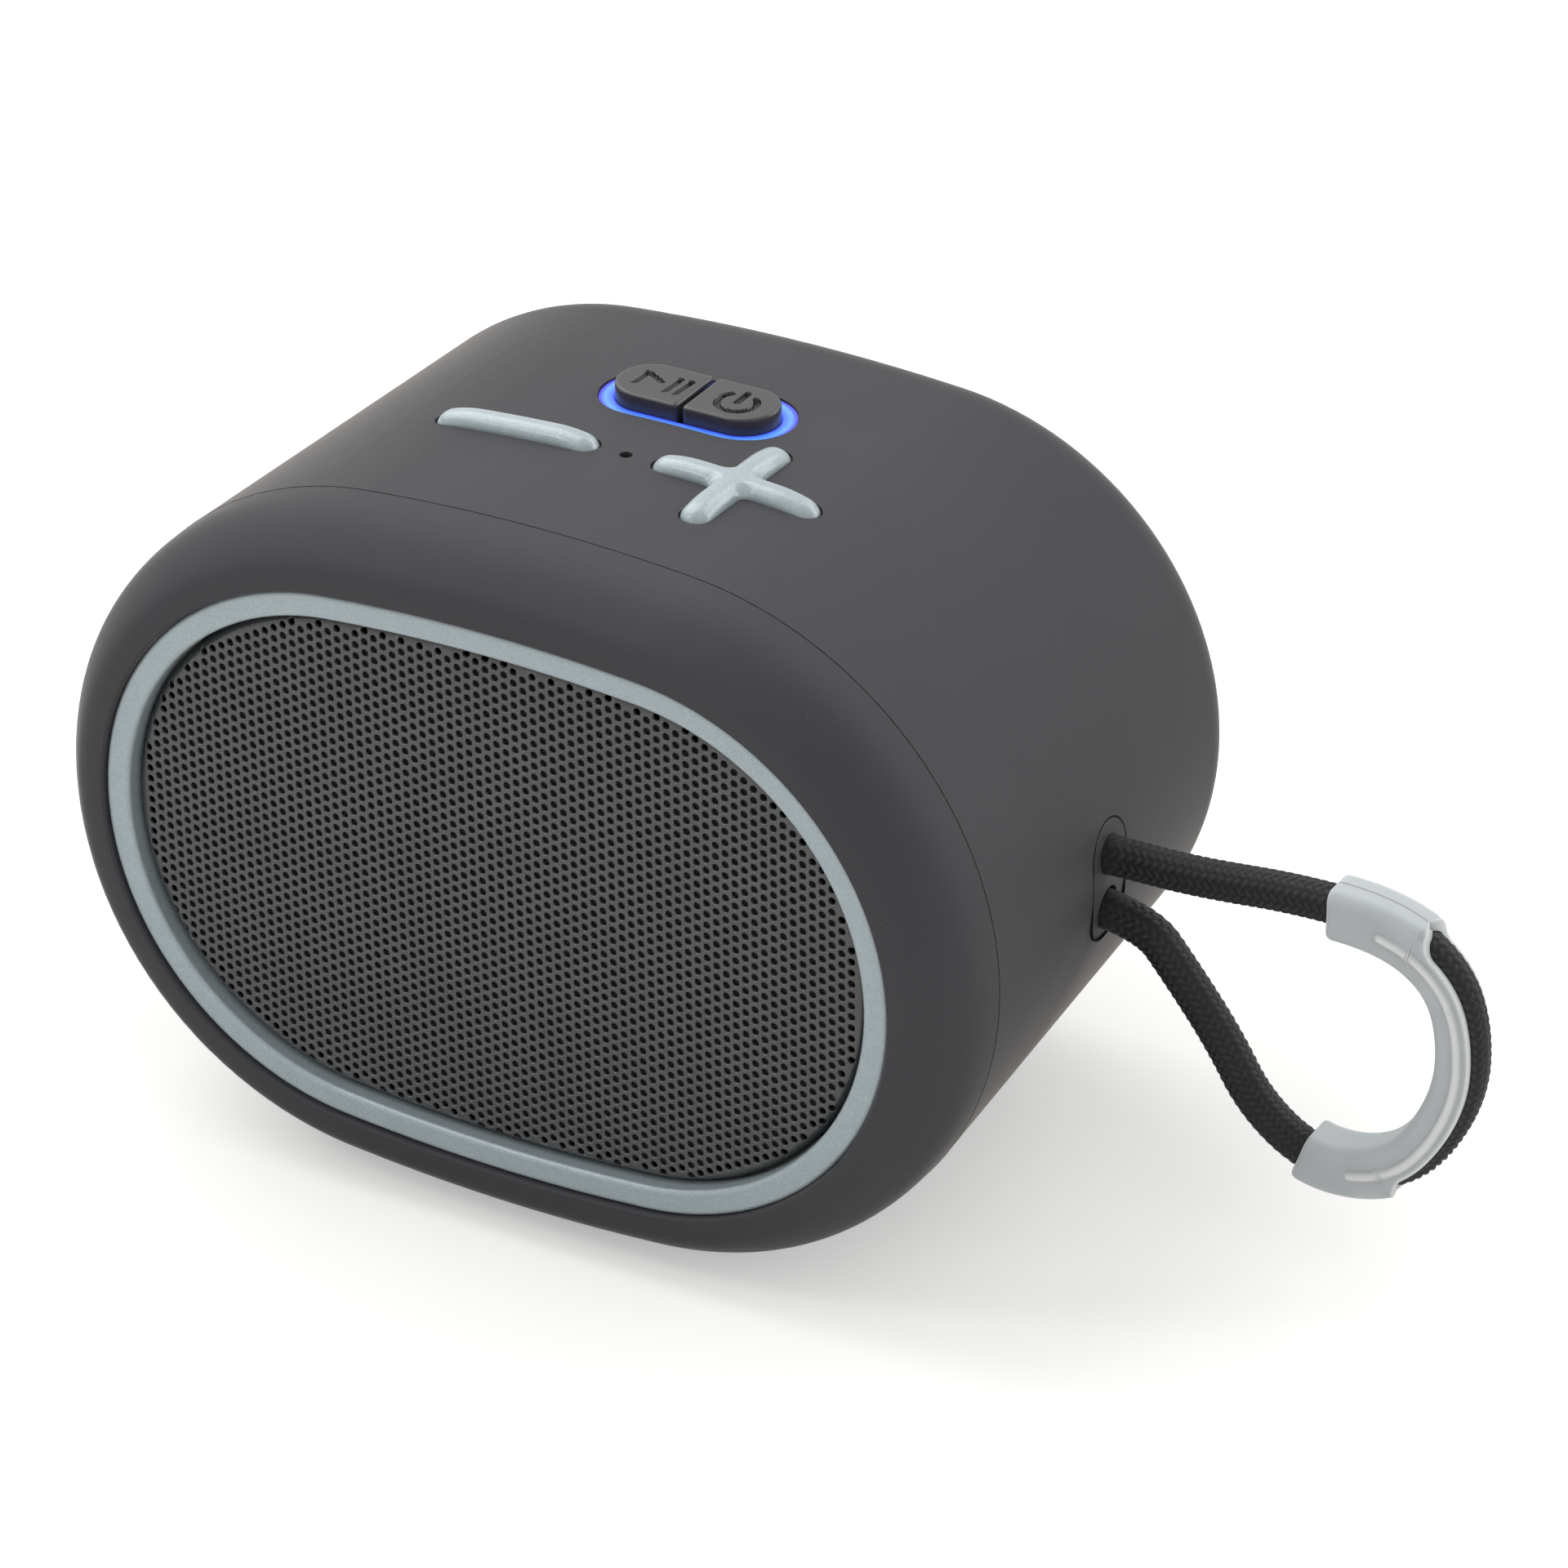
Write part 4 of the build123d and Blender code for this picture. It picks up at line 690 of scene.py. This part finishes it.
padKey = {
    "y": 10.0,
    "halfLong": 9.25,
    "halfWide": 3.85,
    "splitX": 0.0,
    "split": 0.3,  # half of the groove
    "top": 78.07,
    "edge": 0.32,
    "engraving": 0.45,
    "strokeHalf": 0.36,
    "strokeEdge": 0.12,  # width of a stroke's sloping side
    "corner": 0.5,  # softness where the groove meets the capsule
    "flangeTop": 72.3,
    "flangeX": 5.0,
    "flangeSize": (9.4, 8.6),
    "spacing": 0.085,  # of the points on top
    "markDepth": 0.7,  # only points this near the top can be engraved
    "markInset": 0.3,
    "play": [(-6.65, 1.45, -6.8, -1.2), (-6.5, 1.4, -4.35, 0.15), (-2.85, 1.5, -3.05, -1.5), (-1.6, 1.5, -1.8, -1.5)],
    "power": (4.75, -0.25),
    "powerRadius": 2.07,
    "powerOpening": (48, 132),  # degrees
    "powerBar": 2.3,
}


def segmentGap(x, y, ax, ay, bx, by):
    t = ((x - ax) * (bx - ax) + (y - ay) * (by - ay)) / ((bx - ax) ** 2 + (by - ay) ** 2)
    t = min(max(t, 0), 1)
    return hypot(x - ax - t * (bx - ax), y - ay - t * (by - ay))


def playGap(x, y):  # play and pause, from the key's own middle height
    return min(segmentGap(x, y, *stroke) for stroke in padKey["play"])


def powerGap(x, y):
    u, v = x - padKey["power"][0], y - padKey["power"][1]
    radius, (opens, closes) = padKey["powerRadius"], padKey["powerOpening"]
    if radians(opens) < atan2(v, u) < radians(closes):
        ends = [(radius * cos(radians(a)), radius * sin(radians(a))) for a in (opens, closes)]
        arc = min(hypot(u - ex, v - ey) for ex, ey in ends)
    else:
        arc = abs(hypot(u, v) - radius)
    return min(arc, segmentGap(u, v, 0, padKey["powerBar"], 0, 0.0))


def strokeCut(symbol, x, y):  # 1 in the middle of an engraved stroke, 0 beside it
    cut = (padKey["strokeHalf"] - symbol(x, y - padKey["y"])) / padKey["strokeEdge"] + 0.5
    return min(max(cut, 0), 1)


def padGap(side):
    def gap(x, y):
        capsule = slotGap(x, y - padKey["y"], padKey["halfLong"], padKey["halfWide"])
        wall = padKey["split"] - side * (x - padKey["splitX"])
        return -softMin(-capsule, -wall, padKey["corner"])
    return gap


# ABS with a semi-gloss lacquer: charcoal; the engraved strokes are duller and painted nearly black as shade
keyLacquer, tree, place = newSurface("lacqueredAbs")
engraved = addNode(tree, "Attribute", {"attribute_name": "engraved"}).outputs["Fac"]
speck = addNode(tree, "TexNoise", {"Vector": place, "Scale": 1 / 0.00022, "Detail": 2.0})
ripple = addNode(tree, "TexNoise", {"Vector": place, "Scale": 1 / 0.0012, "Detail": 2.0})
# painted shade: the engraved strokes are mixed towards near black
lacquerAndEngravingShade = addNode(tree, "ValToRGB", {"Fac": engraved, "stops": tones("#3a393b", "#050506", 0.25, 0.6)}).outputs["Color"]
wet = addNode(tree, "MapRange", {"Value": engraved, "From Min": 0.2, "From Max": 0.7, "To Min": 0.28, "To Max": 0.4})
uneven = addNode(tree, "MapRange", {"Value": speck.outputs["Fac"], "To Min": -0.05, "To Max": 0.08})
wet = addNode(tree, "Math", {"operation": "ADD", 0: wet.outputs["Result"], 1: uneven.outputs["Result"]})
wave = addNode(tree, "Bump", {"Strength": 0.25, "Distance": 0.00003, "Height": ripple.outputs["Fac"]})
shader = addNode(tree, "BsdfPrincipled", {
    "Base Color": lacquerAndEngravingShade, "Roughness": wet.outputs[0], "Normal": wave.outputs[0], "Specular IOR Level": 0.45})
addNode(tree, "OutputMaterial", {"Surface": shader.outputs[0]})

loopDepths = [0.01, 0.03, 0.07, 0.13, 0.2, 0.3, 0.42, 0.56, 0.66]
padKeys = (
    ("playKey", -1, "play_key", "play_button", playGap),
    ("powerKey", 1, "power_key", "power_button", powerGap),
)
for name, side, node, body, symbol in padKeys:
    gap = padGap(side)

    def padHeight(x, y):
        cut = strokeCut(symbol, x, y)
        return padKey["top"] - edgeDrop(gap(x, y), padKey["edge"]) - padKey["engraving"] * cut * cut * (3 - 2 * cut)

    x0, x1 = sorted((padKey["splitX"] + side * padKey["split"], side * padKey["halfLong"]))
    bounds = (x0, padKey["y"] - padKey["halfWide"], x1, padKey["y"] + padKey["halfWide"])
    points, faces = reliefKey(gap, bounds, padKey["spacing"], loopDepths, padHeight, padKey["flangeTop"] - stem["overlap"])
    points, faces = addStem(points, faces, side * padKey["flangeX"], padKey["y"], *padKey["flangeSize"], padKey["flangeTop"])
    piece = addPiece(name, points, faces, body, "pad_plastic", keyLacquer, [node], sharp=60)
    depths = []
    for v in piece.data.vertices:
        x, y, z = v.co.x / mm, v.co.y / mm, v.co.z / mm
        onTop = z > padKey["top"] - padKey["markDepth"] and gap(x, y) < -padKey["markInset"]
        depths.append(strokeCut(symbol, x, y) if onTop else 0.0)
    piece.data.attributes.new("engraved", "FLOAT", "POINT").data.foreach_set("value", depths)
print("play and power keys made")

# Finishes of the pieces that keep their own shape
# soft-touch lacquer over moulded ABS: matt charcoal that feels like rubber and lightens at glancing angles
softTouch, tree, place = newSurface("softTouchLacquer")
drift = addNode(tree, "TexNoise", {"Vector": place, "Scale": 1 / 0.03, "Detail": 4.0})
spray = addNode(tree, "TexNoise", {"Vector": place, "Scale": 1 / 0.00028, "Detail": 2.0})  # spray grain
dust = addNode(tree, "TexVoronoi", {"Vector": place, "Scale": 1 / 0.0022})
body = addNode(tree, "ValToRGB", {"Fac": drift.outputs["Fac"], "stops": tones("#37373a", "#3b3b3e")}).outputs["Color"]
mote = addNode(tree, "MapRange", {
    "Value": dust.outputs["Distance"], "From Min": 0.02, "From Max": 0.05, "To Min": 0.25, "To Max": 0.0})
body = addNode(tree, "Mix", {"data_type": "RGBA", 0: mote.outputs["Result"], 6: body, 7: toLinear("#77787a")})
orange = addNode(tree, "Bump", {"Strength": 0.22, "Distance": 0.00002, "Height": spray.outputs["Fac"]})
matt = addNode(tree, "MapRange", {"Value": spray.outputs["Fac"], "To Min": 0.62, "To Max": 0.72})
shader = addNode(tree, "BsdfPrincipled", {
    "Base Color": body.outputs[2], "Roughness": matt.outputs["Result"], "Normal": orange.outputs[0], "Specular IOR Level": 0.28,
    "Sheen Weight": 0.4, "Sheen Roughness": 0.25, "Sheen Tint": toLinear("#e6dfd6")})
addNode(tree, "OutputMaterial", {"Surface": shader.outputs[0]})

# milky light guide, lit from below: brightest along its middle, violet blue towards its edges
lightBand = {  # m
    "halfSpan": 0.0053,  # straight part, either side of the middle
    "y": 0.010,
    "inner": 0.0038,
    "outer": 0.0057,
}
lightGuide, tree, place = newSurface("litAcrylicGuide")
parts = addNode(tree, "SeparateXYZ", {"Vector": place})
spanX = addNode(tree, "Math", {"operation": "ABSOLUTE", 0: parts.outputs["X"]})
spanX = addNode(tree, "Math", {"operation": "SUBTRACT", 0: spanX.outputs[0], 1: lightBand["halfSpan"], "use_clamp": True})
offY = addNode(tree, "Math", {"operation": "SUBTRACT", 0: parts.outputs["Y"], 1: lightBand["y"]})
flatPlace = addNode(tree, "CombineXYZ", {"X": spanX.outputs[0], "Y": offY.outputs[0]})
away = addNode(tree, "VectorMath", {"operation": "LENGTH", 0: flatPlace.outputs[0]})
band = addNode(tree, "MapRange", {
    "Value": away.outputs["Value"], "From Min": lightBand["inner"], "From Max": lightBand["outer"]})
blues = [(0.0, "#1c1cff"), (0.85, "#3a35f0"), (1.0, "#120f48"), (0.45, "#4f8dff"), (0.6, "#5aa0ff")]
glow = addNode(tree, "ValToRGB", {
    "Fac": band.outputs["Result"], "stops": [(at, toLinear(blue)) for at, blue in blues]}).outputs["Color"]
cloudy = addNode(tree, "TexNoise", {"Vector": place, "Scale": 1 / 0.003, "Detail": 2.0})
power = addNode(tree, "MapRange", {"Value": cloudy.outputs["Fac"], "To Min": 1.0, "To Max": 1.4})
shader = addNode(tree, "BsdfPrincipled", {
    "Base Color": toLinear("#202a60"), "Roughness": 0.35, "Emission Color": glow, "Emission Strength": power.outputs["Result"]})
addNode(tree, "OutputMaterial", {"Surface": shader.outputs[0]})

# plain finishes: name, colours, grain in mm, roughness, metal share
plainFinishes = {
    "mouldedRubber": ("#2b2c2d", "#343536", 0.35, 0.62, 0.0),  # matt rubber of the feet, cover and seals
    "mouldedAbs": ("#3e3f41", "#454648", 0.3, 0.5, 0.0),  # fine spark-eroded plastic
    "switchNylon": ("#161617", "#1d1d1e", 0.25, 0.45, 0.0),
    "zincPlatedSteel": ("#b9bab6", "#cccdca", 0.5, 0.3, 1.0),  # bright grey with a soft grain
    "sinteredFerrite": ("#2c2d2f", "#38393b", 0.4, 0.6, 0.2),
    "coatedPaperPulp": ("#222224", "#2b2b2d", 0.6, 0.7, 0.0),  # fibrous cone
    "resinDippedCloth": ("#a9793a", "#bb8b4a", 0.5, 0.7, 0.0),
    "enamelledCopper": ("#b5693c", "#c9794a", 0.2, 0.3, 1.0),
    "solderMask": ("#14532d", "#1a6436", 0.8, 0.35, 0.0),  # green board lacquer
    "shrinkSleeve": ("#1d4f8c", "#2258a0", 1.5, 0.25, 0.0),
    "closedCellFoam": ("#38383a", "#444446", 0.3, 0.9, 0.0),
    "wovenMesh": ("#0d0d0e", "#19191a", 0.2, 0.85, 0.0),  # acoustic mesh behind the grille
    "clearLens": ("#d9d8c8", "#e4e3d6", 0.8, 0.2, 0.0),
}
finishes = {}
for name, (dark, light, size, roughness, metal) in plainFinishes.items():
    surface, tree, place = newSurface(name)
    texture = addNode(tree, "TexNoise", {"Vector": place, "Scale": 1 / (size * mm), "Detail": 3.0})
    tone = addNode(tree, "ValToRGB", {"Fac": texture.outputs["Fac"], "stops": tones(dark, light)}).outputs["Color"]
    relief = addNode(tree, "Bump", {"Strength": 0.4, "Distance": size * mm * 0.12, "Height": texture.outputs["Fac"]})
    spread = addNode(tree, "MapRange", {"Value": texture.outputs["Fac"], "To Min": roughness - 0.06, "To Max": roughness + 0.08})
    shader = addNode(tree, "BsdfPrincipled", {
        "Base Color": tone, "Roughness": spread.outputs["Result"], "Normal": relief.outputs[0], "Metallic": metal})
    addNode(tree, "OutputMaterial", {"Surface": shader.outputs[0]})
    finishes[name] = surface
finishes.update(softTouch=softTouch, pearl=pearl, lightGuide=lightGuide)

wears = {
    "softTouch": "rear_shell front_bezel strap_plug",
    "pearl": "trim_ring",
    "lightGuide": "light_ring",
    "mouldedRubber": "port_cover left_foot right_foot bezel_gasket driver_gasket mic_boot surround",
    "mouldedAbs": "strap_anchor",
    "switchNylon": "tact_switches aux_socket minus_plunger plus_plunger play_plunger power_plunger driver_basket",
    "zincPlatedSteel": "top_plate yoke usb_socket mic_capsule bezel_screws driver_screws key_board_screws main_board_screws",
    "sinteredFerrite": "magnet",
    "coatedPaperPulp": "cone dust_cap",
    "resinDippedCloth": "spider",
    "enamelledCopper": "voice_coil",
    "solderMask": "key_board main_board",
    "shrinkSleeve": "battery",
    "closedCellFoam": "battery_pads",
    "wovenMesh": "grille_cloth",
    "clearLens": "ring_leds",
}
for finish, nodes in wears.items():
    for node in nodes.split():
        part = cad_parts[node]
        part.data.materials.clear()
        part.data.materials.append(finishes[finish])
print("finishes given")

# Painted shade: thin near-black strips laid in the fine joints between bezel and shell, and round the strap's plug
joint = {
    "seam": 0.08,  # width
    "proud": 0.015,
    "draft": 0.0371,  # half-width lost per mm behind the seam
    "plugLong": 13.8,
    "plugWide": 7.8,
    "plugGap": 0.2,
    "plugProud": 0.1,
    "plugSunk": 0.3,  # wider at the top, where the plug sits deeper
    "depth": 0.12,
    "plugPoints": 96,
}
# the joint's shaded depth: black, no gloss
shadedJoint, tree, place = newSurface("shadedJoint")
jointShadeNoise = addNode(tree, "TexNoise", {"Vector": place, "Scale": 1 / 0.0004, "Detail": 2.0})
jointShadeTone = addNode(tree, "ValToRGB", {"Fac": jointShadeNoise.outputs["Fac"], "stops": tones("#0a0a0b", "#141415")}).outputs["Color"]
shader = addNode(tree, "BsdfPrincipled", {"Base Color": jointShadeTone, "Roughness": 0.9, "Specular IOR Level": 0.1})
addNode(tree, "OutputMaterial", {"Surface": shader.outputs[0]})
# painted shade: a near-black strip along the seam
half = joint["seam"] / 2
seamLoops = [[(x, housing["seam"] + y, z + housing["middle"]) for x, z in ovalLoop(inset)] for inset, y in (
    (-joint["proud"], -half), (-joint["proud"], half), (joint["depth"], half), (joint["depth"], -half))]
addPiece("seamShade", *joinLoops(seamLoops, closed=True), "housing", "seal_rubber", shadedJoint)


def sideOfHousing(y, z):
    loss = joint["draft"] * (y - housing["seam"])
    (endX, _), endR, _, _ = ovalArcs(loss)[0]
    return endX + sqrt(endR * endR - z * z)


# painted shade: a near-black ring round the strap's plug, wider at the top
plugLoops = []
for inwards, rise in ((False, joint["plugProud"]), (True, joint["plugProud"]),
                      (True, -joint["depth"]), (False, -joint["depth"])):
    loop = []
    for k in range(joint["plugPoints"]):
        angle = 2 * pi * (k + 0.5) / joint["plugPoints"]
        radius = joint["plugWide"] / 2
        if inwards:
            radius -= joint["plugGap"] + joint["plugSunk"] * max(sin(angle), 0) ** 2
        y = strap["plane"] + radius * cos(angle)
        z = copysign((joint["plugLong"] - joint["plugWide"]) / 2, sin(angle)) + radius * sin(angle)
        loop.append((sideOfHousing(y, z) + rise, y, z + housing["middle"]))
    plugLoops.append(loop)
addPiece("plugGap", *joinLoops(plugLoops, closed=True), "housing", "seal_rubber", shadedJoint)
print("joints drawn")

# Studio: pale floor, soft lamps
studio = {
    "floor": 3.0,  # m, half of its side
    "floorColour": "#f2f1ef",
    "lift": 0.34,
    "glossShare": 0.35,  # of the lift, for glossy rays, so that the speaker's lower edges stay dark
    "world": 0.62,
}
floorMesh = bpy.data.meshes.new("studioFloor")
reach = studio["floor"]
floorMesh.from_pydata([(-reach, -reach, 0), (reach, -reach, 0), (reach, reach, 0), (-reach, reach, 0)], [], [(0, 1, 2, 3)])
floor = bpy.data.objects.new("studioFloor", floorMesh)
scene.collection.objects.link(floor)
paper, tree, place = newSurface("paperSweep")
seen = addNode(tree, "LightPath", {})
gloss = addNode(tree, "Math", {"operation": "MULTIPLY", 0: seen.outputs["Is Glossy Ray"], 1: studio["glossShare"]})
eye = addNode(tree, "Math", {"operation": "MAXIMUM", 0: seen.outputs["Is Camera Ray"], 1: gloss.outputs[0]})
eye = addNode(tree, "Math", {"operation": "MAXIMUM", 0: eye.outputs[0], 1: seen.outputs["Is Transmission Ray"]})
lift = addNode(tree, "Math", {"operation": "MULTIPLY", 0: eye.outputs[0], 1: studio["lift"]})
sheen = addNode(tree, "Emission", {"Color": toLinear("#ffffff"), "Strength": lift.outputs[0]})
card = addNode(tree, "BsdfDiffuse", {"Color": toLinear(studio["floorColour"]), "Roughness": 1.0})
shader = addNode(tree, "AddShader", {0: sheen.outputs[0], 1: card.outputs[0]})
addNode(tree, "OutputMaterial", {"Surface": shader.outputs[0]})
floorMesh.materials.append(paper)

world = bpy.data.worlds.new("studioWorld")
scene.world = world
world.use_nodes = True
tree = world.node_tree
tree.nodes.clear()
seen = addNode(tree, "LightPath", {})
eye = addNode(tree, "Math", {"operation": "MAXIMUM", 0: seen.outputs["Is Camera Ray"], 1: seen.outputs["Is Glossy Ray"]})
eye = addNode(tree, "Math", {"operation": "MAXIMUM", 0: eye.outputs[0], 1: seen.outputs["Is Transmission Ray"]})
level = addNode(tree, "MapRange", {"Value": eye.outputs[0], "To Min": studio["world"], "To Max": 1.0})
sky = addNode(tree, "Background", {"Color": (1, 1, 1, 1), "Strength": level.outputs["Result"]})
addNode(tree, "OutputWorld", {"Surface": sky.outputs[0]})

lamps = {
    "softboxLeft": {"place": (-0.7, 0.2, 1.0), "aim": (0, 0, 0.03), "size": 1.2, "power": 11.0},
    "softboxFront": {"place": (-0.62, -0.75, 1.0), "aim": (0, 0, 0.03), "size": 0.3, "power": 1.8},
    "softboxRight": {"place": (0.8, 0.75, 0.4), "aim": (0, 0, 0.04), "size": 0.5, "power": 2.6},
    "softboxRear": {"place": (0.35, 0.9, 0.8), "aim": (0, 0, 0.03), "size": 0.7, "power": 3.0},
}
for name, lamp in lamps.items():
    data = bpy.data.lights.new(name, "AREA")
    data.shape = "SQUARE"
    data.size = lamp["size"]
    data.energy = lamp["power"]
    light = bpy.data.objects.new(name, data)
    light.location = lamp["place"]
    light.rotation_mode = "QUATERNION"
    light.rotation_quaternion = (Vector(lamp["aim"]) - Vector(lamp["place"])).to_track_quat("-Z", "Y")
    scene.collection.objects.link(light)
print("studio lit")
